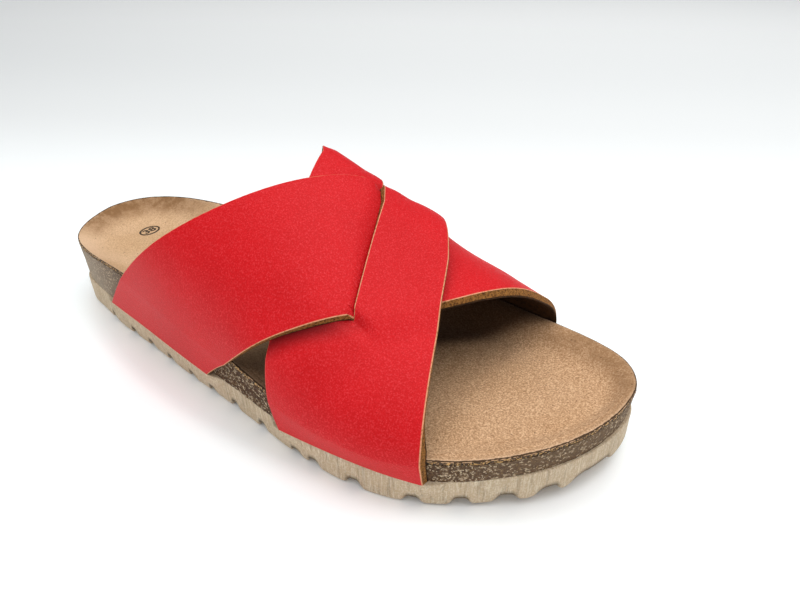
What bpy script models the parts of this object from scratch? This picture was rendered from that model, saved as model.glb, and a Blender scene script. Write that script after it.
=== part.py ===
# Crossed strap slide sandal for the right foot.
# The pieces are a foam rubber outsole with a wavy tread, a cork midsole with a heel cup,
# a suede covered footbed, and an upper of two wide leather straps joined where they cross.
# Tables and constants are in millimetres. X runs from the back of the heel to the toe,
# +Y is the inner side of the foot, and Z is up from the floor.
import math
import bpy
import bmesh
import numpy as np

MM = 0.001

SOLE_LENGTH = 252.0
OUTSOLE_HEEL = 12.9
OUTSOLE_FORE = 11.7
TOE_SPRING = 5.0
SPRING_START = 190.0
SPRING_LENGTH = 60.0
LINING = 1.5
LEATHER = 2.6
GAP = 0.3
STRAP_CLEARANCE = 0.5

# The sole's plan and rim. The heel and toe rows are single points, where both sides meet.
SOLE_COLUMNS = ("x", "outer_y", "inner_y", "outer_rim", "inner_rim")
SOLE_ROWS = (
    (0, 0.0, 0.0, 35.9, 35.9),
    (8, -22.6, 19.0, 33.0, 36.3),
    (20, -27.6, 27.4, 32.0, 36.2),
    (40, -32.2, 32.0, 34.4, 36.7),
    (65, -35.2, 33.0, 34.4, 37.5),
    (95, -39.4, 32.6, 31.2, 37.6),
    (125, -42.6, 35.9, 26.8, 35.6),
    (150, -46.3, 40.8, 24.2, 32.6),
    (172, -48.0, 45.0, 23.0, 29.8),
    (190, -46.6, 45.6, 22.4, 27.5),
    (210, -39.6, 44.6, 22.2, 26.5),
    (228, -27.4, 42.0, 23.4, 26.7),
    (243, -10.8, 36.0, 25.6, 27.3),
    (252, 18.0, 18.0, 28.1, 28.1),
)

# The footbed along its middle, and how far out from the middle, from 0 to 1, its rim begins to rise.
BED_COLUMNS = ("x", "floor", "outer_flat", "inner_flat", "roundness")
BED_ROWS = (
    (0, 28.6, 0.40, 0.40, 0.0),
    (28, 27.6, 0.40, 0.55, 0.0),
    (60, 26.2, 0.36, 0.45, 0.1),
    (95, 24.8, 0.42, 0.28, 0.3),
    (125, 23.4, 0.55, 0.25, 0.7),
    (150, 20.8, 0.68, 0.45, 1.0),
    (175, 19.0, 0.78, 0.62, 1.0),
    (205, 19.6, 0.78, 0.66, 1.0),
    (230, 21.8, 0.72, 0.68, 1.0),
    (252, 24.0, 0.72, 0.70, 1.0),
)
TOE_RIDGE_X = 207.0
TOE_RIDGE_HEIGHT = 1.2
TOE_RIDGE_WIDTH = 9.0
MIDLINE_HEEL = 27.0
MIDLINE_TOE = 30.0

# The cork wall leans in below the rim, most where the back strap starts.
INSET_COLUMNS = ("x", "inset")
INSET_ROWS = (
    (0, 0.9),
    (15, 1.1),
    (40, 2.0),
    (110, 1.0),
)

# The outsole's top swells outward under the strap feet, and its side tapers in to the tread.
FLANGE = 2.9
FLANGE_RAMP = 8.0
CORK_LEDGE = 0.1
# At the tips of heel and toe it stands out a little, and its side stays upright.
TIP_LEDGE = 1.0
HEEL_TIP_END = 25.0
HEEL_TIP_RAMP = 20.0
TOE_TIP_START = 225.0
TOE_TIP_RAMP = 15.0
TREAD_INSET = 1.5
TREAD_ROUND = 1.3
TREAD_RISE = 1.9

# The tread's grooves, by the x where each one cuts the outer and the inner side. They are wider
# under the fore part.
GROOVE_ROWS = (
    (33.4, 35.0), (51.7, 51.0), (65.6, 65.0), (80.6, 79.0), (96.2, 93.0), (109.7, 107.0),
    (123.4, 121.5), (139.9, 136.0), (158.7, 150.0), (167.0, 164.0), (184.0, 178.0),
    (204.3, 192.0), (218.1, 205.0), (229.7, 218.0), (240.1, 232.0), (247.6, 246.0),
)
HEEL_GROOVE = 5.4
FORE_GROOVE = 7.4
FORE_START = 140.0
FORE_RAMP = 50.0
GROOVE_DEPTH = 2.9
WAVE_LENGTH = 26.0
WAVE_HEIGHT = 2.6
WAVE_PHASE = 0.6
GROOVE_REACH = 54.0
WAVE_STEPS = 16
# Half a groove's section from its mouth to its top, as shares of its half width and its depth.
GROOVE_SECTION = ((1.0, 0.0), (0.55, 0.75), (0.0, 1.0))
# The grooves' cutter also reaches below the floor, a little wider there.
CUTTER_FLARE = 0.4
CUTTER_DROP = 2.0

# The vault is the last's top surface that the straps follow, as arches across the shoe.
VAULT_COLUMNS = ("x", "crest_z", "crest_y")
VAULT_ROWS = (
    (40, 112.5, 6.0),
    (80, 101.5, 12.5),
    (120, 89.0, 15.5),
    (150, 77.0, 13.0),
    (180, 59.0, 9.5),
    (215, 50.0, 4.5),
)
OUTER_WIDTH_POWER = 1.9
OUTER_HEIGHT_POWER = 2.0
INNER_WIDTH_POWER = 2.0
INNER_HEIGHT_POWER = 1.6
WALL_SHARE = 0.08

# Each strap edge by its place along the shoe, against the share of the way over the foot.
EDGE_SHARES = (0.0, 0.12, 0.30, 0.50, 0.70, 0.88, 1.0)
STRAP_EDGES = {
    "back_strap_rear": (38.0, 71.0, 113.5, 146.0, 165.0, 162.5, 143.5),
    "back_strap_front": (111.0, 136.0, 169.9, 199.5, 210.0, 212.0, 212.0),
    "front_strap_rear": (153.5, 151.0, 144.0, 126.5, 111.5, 83.0, 55.0),
    "front_strap_front": (208.6, 208.8, 202.5, 185.5, 161.5, 137.0, 114.5),
}
STRAP_STEP = 2.75
CROSSING_START = 0.1
CROSSING_LENGTH = 0.8
RISE_START = 0.06
RISE_LENGTH = 0.16
CROSSING_MARGIN = 0.25
# The front half of the front strap is already lifted at the crossing's middle, by this share.
MIDDLE_RISE = 0.6
# The front strap's rear edge curls down over the foot.
TIP_CURL = 1.2
TIP_CURL_SHARE = 0.62
TIP_CURL_WIDTH = 0.12
# The stiff front edge of the front strap stands off the crossing, and the back strap swells out
# near its front edge on the inner side and lies closer on the outer side. Each row is a height,
# the share at its middle, half its width, its lean with the place, and the place where it starts.
BULGES = {
    "front_strap": (
        (4.0, 0.55, 0.20, 0.0, 0.70),
    ),
    "back_strap": (
        (2.7, 0.55, 0.18, 0.25, 0.10),
        (-1.5, 0.225, 0.09, 0.0, 0.50),
    ),
}
STRAP_STEPS_OVER = 44
STRAP_STEPS_WIDE = 8

SIDE_STEPS = 36
BED_RINGS = (0.25, 0.45, 0.6, 0.7, 0.78, 0.85, 0.91, 0.96, 1.0)
UNDER_RINGS = (1.0, 0.9, 0.75, 0.5, 0.25)

LEATHER_RED = (0.66, 0.028, 0.035)
SUEDE_TAN = (0.56, 0.37, 0.24)
CORK_BROWN = (0.13, 0.085, 0.052)
FOAM_CREAM = (0.50, 0.42, 0.31)


# Numbers and curves

def column(columns, rows, name):
    index = columns.index(name)
    return np.array([row[index] for row in rows], dtype=float)


def smooth(value):
    value = np.clip(value, 0.0, 1.0)
    return value * value * (3.0 - 2.0 * value)


def natural_spline(knots, values):
    """A cubic through the knots with no bend at its two ends."""
    knots = np.array(knots, dtype=float)
    values = np.array(values, dtype=float)
    steps = np.diff(knots)
    slopes = np.diff(values) / steps
    system = np.eye(len(knots))
    right = np.zeros(len(knots))
    for i in range(1, len(knots) - 1):
        system[i, i - 1:i + 2] = steps[i - 1], 2.0 * (steps[i - 1] + steps[i]), steps[i]
        right[i] = 6.0 * (slopes[i] - slopes[i - 1])
    bend = np.linalg.solve(system, right)

    def at(place):
        place = np.asarray(place, dtype=float)
        i = np.clip(np.searchsorted(knots, place) - 1, 0, len(steps) - 1)
        step = steps[i]
        along = place - knots[i]
        slope = slopes[i] - step * (2.0 * bend[i] + bend[i + 1]) / 6.0
        cubic = (bend[i + 1] - bend[i]) / (6.0 * step)
        return values[i] + along * (slope + along * (bend[i] / 2.0 + along * cubic))

    return at


# The sole's outline is a function of a turn from 0 at the heel to pi at the toe,
# which rounds both ends of the table's columns.

def turn_at(x):
    return np.arccos(np.clip(1.0 - 2.0 * np.asarray(x, dtype=float) / SOLE_LENGTH, -1.0, 1.0))


def sole_curve(name):
    turns = turn_at(column(SOLE_COLUMNS, SOLE_ROWS, "x"))
    return natural_spline(turns, column(SOLE_COLUMNS, SOLE_ROWS, name))


def bed_curve(name):
    return natural_spline(column(BED_COLUMNS, BED_ROWS, "x"), column(BED_COLUMNS, BED_ROWS, name))


def outsole_top(x):
    height = np.interp(x, (0.0, 150.0), (OUTSOLE_HEEL, OUTSOLE_FORE))
    return height + toe_spring(x)


def toe_spring(x):
    return TOE_SPRING * np.clip((x - SPRING_START) / SPRING_LENGTH, 0.0, 2.0) ** 2


def cork_inset(x):
    return np.interp(x, column(INSET_COLUMNS, INSET_ROWS, "x"), column(INSET_COLUMNS, INSET_ROWS, "inset"))


class Outline:
    """The closed ring of the sole's edge: the outer side from heel to toe, then the inner side back."""

    def __init__(self, side_steps):
        self.side_steps = side_steps
        turns = np.linspace(0.0, math.pi, side_steps + 1)
        back = turns[-2:0:-1]
        self.turns = np.concatenate((turns, back))
        self.is_outer = np.arange(len(self.turns)) <= side_steps
        self.x = SOLE_LENGTH * (1.0 - np.cos(self.turns)) / 2.0
        self.y = np.concatenate((sole_curve("outer_y")(turns), sole_curve("inner_y")(back)))
        self.rim = np.concatenate((sole_curve("outer_rim")(turns), sole_curve("inner_rim")(back)))
        self.points = np.stack((self.x, self.y), axis=1)
        along = np.roll(self.points, -1, axis=0) - np.roll(self.points, 1, axis=0)
        normals = np.stack((along[:, 1], -along[:, 0]), axis=1)
        normals /= np.linalg.norm(normals, axis=1)[:, None]
        outward = ((self.points - self.points.mean(axis=0)) * normals).sum()
        self.normals = normals * np.sign(outward)
        self.middle = self.middle_points()

    def middle_points(self):
        share = (1.0 - np.cos(self.turns)) / 2.0
        x = MIDLINE_HEEL + (SOLE_LENGTH - MIDLINE_HEEL - MIDLINE_TOE) * share
        turns = turn_at(x)
        y = (sole_curve("outer_y")(turns) + sole_curve("inner_y")(turns)) / 2.0
        return np.stack((x, y), axis=1)

    def moved(self, distance):
        return self.points + self.normals * np.reshape(distance, (-1, 1))

    def inward(self, ring, share):
        """The ring drawn in towards the shoe's middle line, where share is 0."""
        return self.middle + (ring - self.middle) * share

    def side_y(self, distance, outer):
        """The y of one side of the moved ring, as a function of x."""
        ring = self.moved(distance)
        if outer:
            ring = ring[:self.side_steps + 1]
        else:
            ring = np.concatenate((ring[:1], ring[:self.side_steps - 1:-1]))
        return lambda x: np.interp(x, ring[:, 0], ring[:, 1])


EDGE = Outline(SIDE_STEPS)
FINE_EDGE = Outline(4 * SIDE_STEPS)


def bed_height(xy, share, is_outer, rim):
    """The footbed's top, over the flat middle and up the soft rim."""
    x = xy[:, 0]
    floor = bed_curve("floor")(x)
    flat = np.where(is_outer, bed_curve("outer_flat")(x), bed_curve("inner_flat")(x))
    roundness = np.clip(bed_curve("roundness")(x), 0.0, 1.0)
    climb = np.clip((share - flat) / (1.0 - flat), 0.0, 1.0)
    climb = climb ** 2 * (1.0 - roundness) + smooth(climb) * roundness
    ridge = TOE_RIDGE_HEIGHT * np.exp(-((x - TOE_RIDGE_X) / TOE_RIDGE_WIDTH) ** 2) * (1.0 - climb)
    return floor + (rim - floor) * climb + ridge


# Solids

def material(name, colour, roughness):
    result = bpy.data.materials.new(name)
    result.use_nodes = True
    shader = result.node_tree.nodes["Principled BSDF"]
    shader.inputs["Base Color"].default_value = (*colour, 1.0)
    shader.inputs["Roughness"].default_value = roughness
    shader.inputs["Metallic"].default_value = 0.0
    return result


def add_object(name, mesh_maker, finish, smooth_angle):
    mesh = bpy.data.meshes.new(name)
    shape = bmesh.new()
    mesh_maker(shape)
    bmesh.ops.recalc_face_normals(shape, faces=shape.faces)
    shape.to_mesh(mesh)
    shape.free()
    piece = bpy.data.objects.new(name, mesh)
    bpy.context.collection.objects.link(piece)
    if finish is not None:
        mesh.materials.append(finish)
    mesh.shade_smooth()
    mesh.set_sharp_from_angle(angle=math.radians(smooth_angle))
    return piece


def add_ring(shape, xy, z):
    heights = np.broadcast_to(z, (len(xy),))
    return [shape.verts.new((x * MM, y * MM, h * MM)) for (x, y), h in zip(xy, heights)]


def join_rings(shape, first, second):
    count = len(first)
    for i in range(count):
        j = (i + 1) % count
        shape.faces.new((first[i], first[j], second[j], second[i]))


def close_middle(shape, ring, xy, z):
    """Fill the inside of a ring with strips that meet on the shoe's middle line."""
    side = len(ring) // 2
    spine = add_ring(shape, xy[:side + 1], z[:side + 1])
    for i in range(side):
        shape.faces.new((ring[i], ring[i + 1], spine[i + 1], spine[i]))
        shape.faces.new((ring[-i], ring[-i - 1], spine[i + 1], spine[i]))


def bed_rings(shape, ring, drop):
    """Rings of the footbed's surface, lowered by drop, from the middle out to the rim."""
    spine_z = bed_height(EDGE.middle, 0.0, EDGE.is_outer, EDGE.rim) - drop
    rings = []
    for share in BED_RINGS:
        xy = EDGE.inward(ring, share)
        z = bed_height(xy, share, EDGE.is_outer, EDGE.rim) - drop
        rings.append(add_ring(shape, xy, z))
        if len(rings) > 1:
            join_rings(shape, rings[-2], rings[-1])
    close_middle(shape, rings[0], EDGE.middle, spine_z)
    return rings[-1]


def make_footbed(shape):
    top = bed_rings(shape, EDGE.points, 0.0)
    bottom = bed_rings(shape, EDGE.points, LINING)
    join_rings(shape, top, bottom)


def make_cork(shape):
    top = bed_rings(shape, EDGE.points, LINING + GAP)
    foot = EDGE.moved(-cork_inset(EDGE.x))
    last = top
    for share in UNDER_RINGS:
        xy = EDGE.inward(foot, share)
        ring = add_ring(shape, xy, outsole_top(xy[:, 0]) + GAP)
        join_rings(shape, last, ring)
        last = ring
    close_middle(shape, last, EDGE.middle, outsole_top(EDGE.middle[:, 0]) + GAP)


def strap_foot(x, is_outer):
    """1 where a strap runs down to the outsole, 0 between the straps."""
    end = 0 if is_outer else -1
    cover = 0.0
    for strap in ("back_strap", "front_strap"):
        start = STRAP_EDGES[strap + "_rear"][end]
        stop = STRAP_EDGES[strap + "_front"][end]
        rise = smooth((x - start + FLANGE_RAMP) / FLANGE_RAMP)
        fall = smooth((stop + FLANGE_RAMP - x) / FLANGE_RAMP)
        cover = max(cover, rise * fall)
    return cover


def make_outsole(shape):
    cover = np.array([strap_foot(x, outer) for x, outer in zip(EDGE.x, EDGE.is_outer)])
    heel_tip = smooth((HEEL_TIP_END - EDGE.x) / HEEL_TIP_RAMP)
    tips = heel_tip + smooth((EDGE.x - TOE_TIP_START) / TOE_TIP_RAMP)
    top = EDGE.moved(FLANGE * cover + TIP_LEDGE * tips - cork_inset(EDGE.x) + CORK_LEDGE)
    inset = TREAD_INSET * (1.0 - tips)
    waist = EDGE.moved(-inset)
    tread = EDGE.moved(-inset - TREAD_ROUND)
    last = None
    for share in reversed(UNDER_RINGS):
        xy = EDGE.inward(top, share)
        z = outsole_top(xy[:, 0])
        ring = add_ring(shape, xy, z)
        if last is None:
            close_middle(shape, ring, EDGE.middle, outsole_top(EDGE.middle[:, 0]))
        else:
            join_rings(shape, last, ring)
        last = ring
    for xy, height in ((waist, TREAD_RISE), (tread, 0.0)):
        ring = add_ring(shape, xy, toe_spring(xy[:, 0]) + height)
        join_rings(shape, last, ring)
        last = ring
    for share in UNDER_RINGS[2:]:
        xy = EDGE.inward(tread, share)
        ring = add_ring(shape, xy, toe_spring(xy[:, 0]))
        join_rings(shape, last, ring)
        last = ring
    close_middle(shape, last, EDGE.middle, toe_spring(EDGE.middle[:, 0]))


def groove_line(outer_x, inner_x, y):
    """The x of a groove's middle at a place across the shoe."""
    outer_y = float(sole_curve("outer_y")(turn_at(outer_x)))
    inner_y = float(sole_curve("inner_y")(turn_at(inner_x)))
    share = min(max((y - outer_y) / (inner_y - outer_y), 0.0), 1.0)
    wave = WAVE_HEIGHT * math.sin(2.0 * math.pi * y / WAVE_LENGTH + WAVE_PHASE)
    return outer_x + (inner_x - outer_x) * share + wave * math.sin(math.pi * share)


def make_groove(shape, outer_x, inner_x):
    """One wavy groove across the tread, a rounded trough open to the floor."""
    fore = float(smooth((outer_x - FORE_START) / FORE_RAMP))
    half = (HEEL_GROOVE + (FORE_GROOVE - HEEL_GROOVE) * fore) / 2.0
    side = [(half + CUTTER_FLARE, -CUTTER_DROP)]
    side += [(half * across, GROOVE_DEPTH * up) for across, up in GROOVE_SECTION]
    section = [(-across, up) for across, up in side] + side[-2::-1]
    last = None
    for step in range(WAVE_STEPS + 1):
        y = GROOVE_REACH * (2.0 * step / WAVE_STEPS - 1.0)
        x = groove_line(outer_x, inner_x, y)
        lift = float(toe_spring(x))
        ring = [shape.verts.new(((x + dx) * MM, y * MM, (lift + dz) * MM)) for dx, dz in section]
        if last is None:
            shape.faces.new(ring)
        else:
            join_rings(shape, last, ring)
        last = ring
    shape.faces.new(last)


def make_grooves(shape):
    for outer_x, inner_x in GROOVE_ROWS:
        make_groove(shape, outer_x, inner_x)


# The upper

CREST_Z = natural_spline(column(VAULT_COLUMNS, VAULT_ROWS, "x"), column(VAULT_COLUMNS, VAULT_ROWS, "crest_z"))
CREST_Y = natural_spline(column(VAULT_COLUMNS, VAULT_ROWS, "x"), column(VAULT_COLUMNS, VAULT_ROWS, "crest_y"))
RIM_OUT = LEATHER + STRAP_CLEARANCE
OUTER_RIM_Y = FINE_EDGE.side_y(RIM_OUT, True)
INNER_RIM_Y = FINE_EDGE.side_y(RIM_OUT, False)
OUTER_BASE_Y = FINE_EDGE.side_y(RIM_OUT - cork_inset(FINE_EDGE.x), True)
INNER_BASE_Y = FINE_EDGE.side_y(RIM_OUT - cork_inset(FINE_EDGE.x), False)


def vault_point(x, share, lift):
    """A point of the straps' outer face: share 0 is the outer foot, 1 the inner foot.

    Up to the sole's rim the strap lies on the cork wall. From there it arches over the foot.
    """
    is_outer = share < 0.5
    crest_y = float(CREST_Y(x))
    crest_z = float(CREST_Z(x))
    turns = turn_at(x)
    if is_outer:
        rim_y, base_y = float(OUTER_RIM_Y(x)), float(OUTER_BASE_Y(x))
        rim_z = float(sole_curve("outer_rim")(turns))
        width_power, height_power = OUTER_WIDTH_POWER, OUTER_HEIGHT_POWER
    else:
        rim_y, base_y = float(INNER_RIM_Y(x)), float(INNER_BASE_Y(x))
        rim_z = float(sole_curve("inner_rim")(turns))
        width_power, height_power = INNER_WIDTH_POWER, INNER_HEIGHT_POWER
    outward = -1.0 if is_outer else 1.0
    up_wall = min(share, 1.0 - share) / WALL_SHARE
    if up_wall < 1.0:
        base_z = float(outsole_top(x)) + GAP
        y = base_y + (rim_y - base_y) * up_wall + outward * lift
        return (x, y, base_z + (rim_z - base_z) * up_wall)
    angle = math.pi * (share - WALL_SHARE) / (1.0 - 2.0 * WALL_SHARE)
    across = abs(math.cos(angle)) ** (2.0 / width_power)
    above = math.sin(angle) ** (2.0 / height_power)
    y = crest_y + (rim_y - crest_y) * across
    z = rim_z + (crest_z - rim_z) * above
    side = (crest_z - rim_z) / abs(rim_y - crest_y) * across * outward
    length = math.hypot(side, above)
    return (x, y + lift * side / length, z + lift * above / length)


def edge_line(name):
    return natural_spline(EDGE_SHARES, STRAP_EDGES[name])


EDGE_LINES = {name: edge_line(name) for name in STRAP_EDGES}


def place_in_strap(strap, x, share):
    """0 at the strap's rear edge and 1 at its front edge."""
    rear = float(EDGE_LINES[strap + "_rear"](share))
    front = float(EDGE_LINES[strap + "_front"](share))
    return (x - rear) / (front - rear)


def within(place):
    """1 well inside the other strap, falling to 0 a little outside its edges."""
    enter = smooth((place + CROSSING_MARGIN) / CROSSING_MARGIN)
    leave = smooth((1.0 + CROSSING_MARGIN - place) / CROSSING_MARGIN)
    return float(enter * leave)


def bulge(strap, share, place):
    """A swelling that grows from inside a strap to its front edge, and leans over the foot."""
    total = 0.0
    for height, middle, half_width, lean, start in BULGES[strap]:
        along = smooth(1.0 - abs(share - middle - lean * (1.0 - place)) / half_width)
        total += height * float(along * smooth((place - start) / (1.0 - start)))
    return total


def strap_lift(strap, x, share):
    """The back strap lies over the rear half of the front strap, and under its front half."""
    across = place_in_strap("front_strap", x, share)
    forward = float(smooth((across - CROSSING_START) / CROSSING_LENGTH))
    in_back_strap = place_in_strap("back_strap", x, share)
    if strap == "back_strap":
        risen = float(smooth((share - RISE_START) / RISE_LENGTH))
        return STRAP_STEP * (1.0 - forward) * risen + bulge(strap, share, in_back_strap)
    if across < 0.5:
        rise = 2.0 * MIDDLE_RISE * forward
    else:
        rise = MIDDLE_RISE + (1.0 - MIDDLE_RISE) * (2.0 * across - 1.0)
    curl = TIP_CURL * float(smooth(1.0 - across / TIP_CURL_WIDTH))
    curl *= math.exp(-((share - TIP_CURL_SHARE) / TIP_CURL_WIDTH) ** 2)
    return STRAP_STEP * rise * within(in_back_strap) + bulge(strap, share, across) - curl


def make_strap(shape, strap):
    rear, front = EDGE_LINES[strap + "_rear"], EDGE_LINES[strap + "_front"]
    layers = []
    for depth in (0.0, LEATHER):
        grid = []
        for i in range(STRAP_STEPS_OVER + 1):
            share = i / STRAP_STEPS_OVER
            row = []
            for j in range(STRAP_STEPS_WIDE + 1):
                part = j / STRAP_STEPS_WIDE
                x = float(rear(share)) * (1.0 - part) + float(front(share)) * part
                lift = strap_lift(strap, x, share) - depth
                row.append(shape.verts.new([value * MM for value in vault_point(x, share, lift)]))
            grid.append(row)
        layers.append(grid)
    top, under = layers
    for grid in layers:
        for i in range(STRAP_STEPS_OVER):
            for j in range(STRAP_STEPS_WIDE):
                shape.faces.new((grid[i][j], grid[i + 1][j], grid[i + 1][j + 1], grid[i][j + 1]))
    for j in (0, STRAP_STEPS_WIDE):
        for i in range(STRAP_STEPS_OVER):
            shape.faces.new((top[i][j], top[i + 1][j], under[i + 1][j], under[i][j]))
    for i in (0, STRAP_STEPS_OVER):
        for j in range(STRAP_STEPS_WIDE):
            shape.faces.new((top[i][j], top[i][j + 1], under[i][j + 1], under[i][j]))


def use_as_tool(piece, tool, operation):
    tool.hide_render = True
    tool.display_type = "WIRE"
    boolean = piece.modifiers.new(operation.lower(), "BOOLEAN")
    boolean.operation = operation
    boolean.solver = "EXACT"
    boolean.object = tool


def build():
    for old in list(bpy.data.objects):
        bpy.data.objects.remove(old, do_unlink=True)

    foam = material("outsole_foam", FOAM_CREAM, 0.85)
    cork = material("midsole_cork", CORK_BROWN, 0.8)
    suede = material("footbed_suede", SUEDE_TAN, 0.9)
    leather = material("strap_leather", LEATHER_RED, 0.5)

    outsole = add_object("outsole", make_outsole, foam, 40.0)
    grooves = add_object("tread_grooves", make_grooves, None, 30.0)
    use_as_tool(outsole, grooves, "DIFFERENCE")

    midsole = add_object("cork_midsole", make_cork, cork, 40.0)
    footbed = add_object("footbed", make_footbed, suede, 40.0)

    upper = add_object("upper", lambda shape: make_strap(shape, "back_strap"), leather, 50.0)
    crossing = add_object("front_strap", lambda shape: make_strap(shape, "front_strap"), leather, 50.0)
    use_as_tool(upper, crossing, "UNION")

    carrier = bpy.data.objects.new("shoe_frame", None)
    bpy.context.collection.objects.link(carrier)
    pieces = (outsole, grooves, midsole, footbed, upper, crossing)
    for piece in pieces:
        piece.parent = carrier

    # The shoe's origin is on the floor under the middle of its outer size.
    corners = np.array([vertex.co for piece in (outsole, upper, crossing) for vertex in piece.data.vertices])
    middle = (corners.min(axis=0) + corners.max(axis=0)) / 2.0
    carrier.location = (-middle[0], -middle[1], 0.0)


build()
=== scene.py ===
# Crossed strap slide sandal for the right foot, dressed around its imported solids.
# The shoe's own sizes are in millimetres: x from the back of the heel to the toe,
# y towards the inner side of the foot, z up from the floor.
import math
import bpy
import bmesh
import numpy as np
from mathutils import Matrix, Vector, noise


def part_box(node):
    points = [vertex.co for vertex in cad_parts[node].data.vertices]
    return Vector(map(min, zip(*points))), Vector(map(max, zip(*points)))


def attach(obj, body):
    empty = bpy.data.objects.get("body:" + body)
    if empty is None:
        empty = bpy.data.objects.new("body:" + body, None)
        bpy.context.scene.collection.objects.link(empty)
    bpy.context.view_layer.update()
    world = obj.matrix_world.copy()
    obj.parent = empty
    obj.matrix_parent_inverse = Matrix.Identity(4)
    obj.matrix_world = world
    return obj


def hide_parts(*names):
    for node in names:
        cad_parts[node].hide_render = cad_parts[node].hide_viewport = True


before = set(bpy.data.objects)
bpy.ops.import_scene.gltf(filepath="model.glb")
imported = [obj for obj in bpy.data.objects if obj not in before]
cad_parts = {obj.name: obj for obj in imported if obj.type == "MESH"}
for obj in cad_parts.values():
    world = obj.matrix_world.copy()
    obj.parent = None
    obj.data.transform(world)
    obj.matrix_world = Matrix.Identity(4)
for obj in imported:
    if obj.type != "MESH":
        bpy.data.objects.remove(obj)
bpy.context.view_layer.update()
print("frame loaded")


# Numbers and curves

def smooth(value):
    value = np.clip(value, 0.0, 1.0)
    return value * value * (3.0 - 2.0 * value)


def fade(value, start, length):  # from 0 at start to 1 a length further on, or back where it is below 0
    return smooth((value - start) / length)


def bump(distance, width):
    return np.exp(-(np.asarray(distance) / width) ** 2)


def mix(first, second, share):
    return first + (second - first) * share


def naturalSpline(knots, values):  # a cubic through the knots, with no bend at its two ends
    knots = np.array(knots, dtype=float)
    values = np.array(values, dtype=float)
    steps = np.diff(knots)
    slopes = np.diff(values) / steps
    system = np.eye(len(knots))
    right = np.zeros(len(knots))
    for i in range(1, len(knots) - 1):
        system[i, i - 1:i + 2] = steps[i - 1], 2.0 * (steps[i - 1] + steps[i]), steps[i]
        right[i] = 6.0 * (slopes[i] - slopes[i - 1])
    bend = np.linalg.solve(system, right)

    def at(place):
        place = np.asarray(place, dtype=float)
        i = np.clip(np.searchsorted(knots, place) - 1, 0, len(steps) - 1)
        step = steps[i]
        along = place - knots[i]
        slope = slopes[i] - step * (2.0 * bend[i] + bend[i + 1]) / 6.0
        cubic = (bend[i + 1] - bend[i]) / (6.0 * step)
        return values[i] + along * (slope + along * (bend[i] / 2.0 + along * cubic))

    return at


def table(columns, rows):  # one array for each named column
    return dict(zip(columns, np.array(rows, dtype=float).T))


def crumble(points, size, seed):  # soft noise from -1 to 1 for points in mm
    scaled = np.asarray(points, dtype=float).reshape(-1, 3) / size + seed
    values = np.array([noise.noise(Vector(point)) for point in scaled])
    return values.reshape(np.shape(points)[:-1])


def unevenness(points, layers):  # each layer is the size, seed and height of its crumbs
    return sum(crumble(points, size, seed) * height for size, seed, height in layers)


# The sole's plan and rim. The heel and toe rows are single points, where both sides meet.
soleColumns = ("x", "outerY", "innerY", "outerRim", "innerRim")
soleRows = (
    (0, 0.0, 0.0, 35.9, 35.9),
    (8, -22.6, 19.0, 33.0, 36.3),
    (20, -27.6, 27.4, 32.0, 36.2),
    (40, -32.2, 32.0, 34.4, 36.7),
    (65, -35.2, 33.0, 34.4, 37.5),
    (95, -39.4, 32.6, 31.2, 37.6),
    (125, -42.6, 35.9, 26.8, 35.6),
    (150, -46.3, 40.8, 24.2, 32.6),
    (172, -48.0, 45.0, 23.0, 29.8),
    (190, -46.6, 45.6, 22.4, 27.5),
    (210, -39.6, 44.6, 22.2, 26.5),
    (228, -27.4, 42.0, 23.4, 26.7),
    (243, -10.8, 36.0, 25.6, 27.3),
    (252, 18.0, 18.0, 28.1, 28.1),
)
bedColumns = ("x", "floor", "outerFlat", "innerFlat", "roundness")
bedRows = (
    (0, 28.6, 0.40, 0.40, 0.0),
    (28, 27.6, 0.40, 0.55, 0.0),
    (60, 26.2, 0.36, 0.45, 0.1),
    (95, 24.8, 0.42, 0.28, 0.3),
    (125, 23.4, 0.55, 0.25, 0.7),
    (150, 20.8, 0.68, 0.45, 1.0),
    (175, 19.0, 0.78, 0.62, 1.0),
    (205, 19.6, 0.78, 0.66, 1.0),
    (230, 21.8, 0.72, 0.68, 1.0),
    (252, 24.0, 0.72, 0.70, 1.0),
)
# x, and how far the cork's wall leans in there
insetRows = ((0, 0.9), (15, 1.1), (40, 2.0), (110, 1.0))
sole = {
    "length": 252.0,
    "outlineSteps": 720,
    "heelHeight": 12.9,       # top of the foam at the heel
    "foreHeight": 11.7,       # and from foreStart on, without the toe spring
    "foreStart": 150.0,
    "toeSpring": 5.0,
    "springStart": 190.0,
    "springLength": 60.0,
    "midlineHeel": 27.0,      # where the middle line starts, ahead of the heel's tip
    "midlineToe": 30.0,
    "lining": 1.5,
}


def turnAt(x):  # from 0 at the heel to pi at the toe, which rounds both ends of the sole
    return np.arccos(np.clip(1.0 - 2.0 * np.asarray(x, dtype=float) / sole["length"], -1.0, 1.0))


soleTable, bedTable = table(soleColumns, soleRows), table(bedColumns, bedRows)
soleCurves = {name: naturalSpline(turnAt(soleTable["x"]), soleTable[name]) for name in soleColumns[1:]}
bedCurves = {name: naturalSpline(bedTable["x"], bedTable[name]) for name in bedColumns[1:]}


def toeSpring(x):
    return sole["toeSpring"] * np.maximum((x - sole["springStart"]) / sole["springLength"], 0.0) ** 2


def foamTop(x):
    plain = np.interp(x, (0.0, sole["foreStart"]), (sole["heelHeight"], sole["foreHeight"]))
    return plain + toeSpring(x)


def corkInset(x):
    return np.interp(x, *zip(*insetRows))


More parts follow.
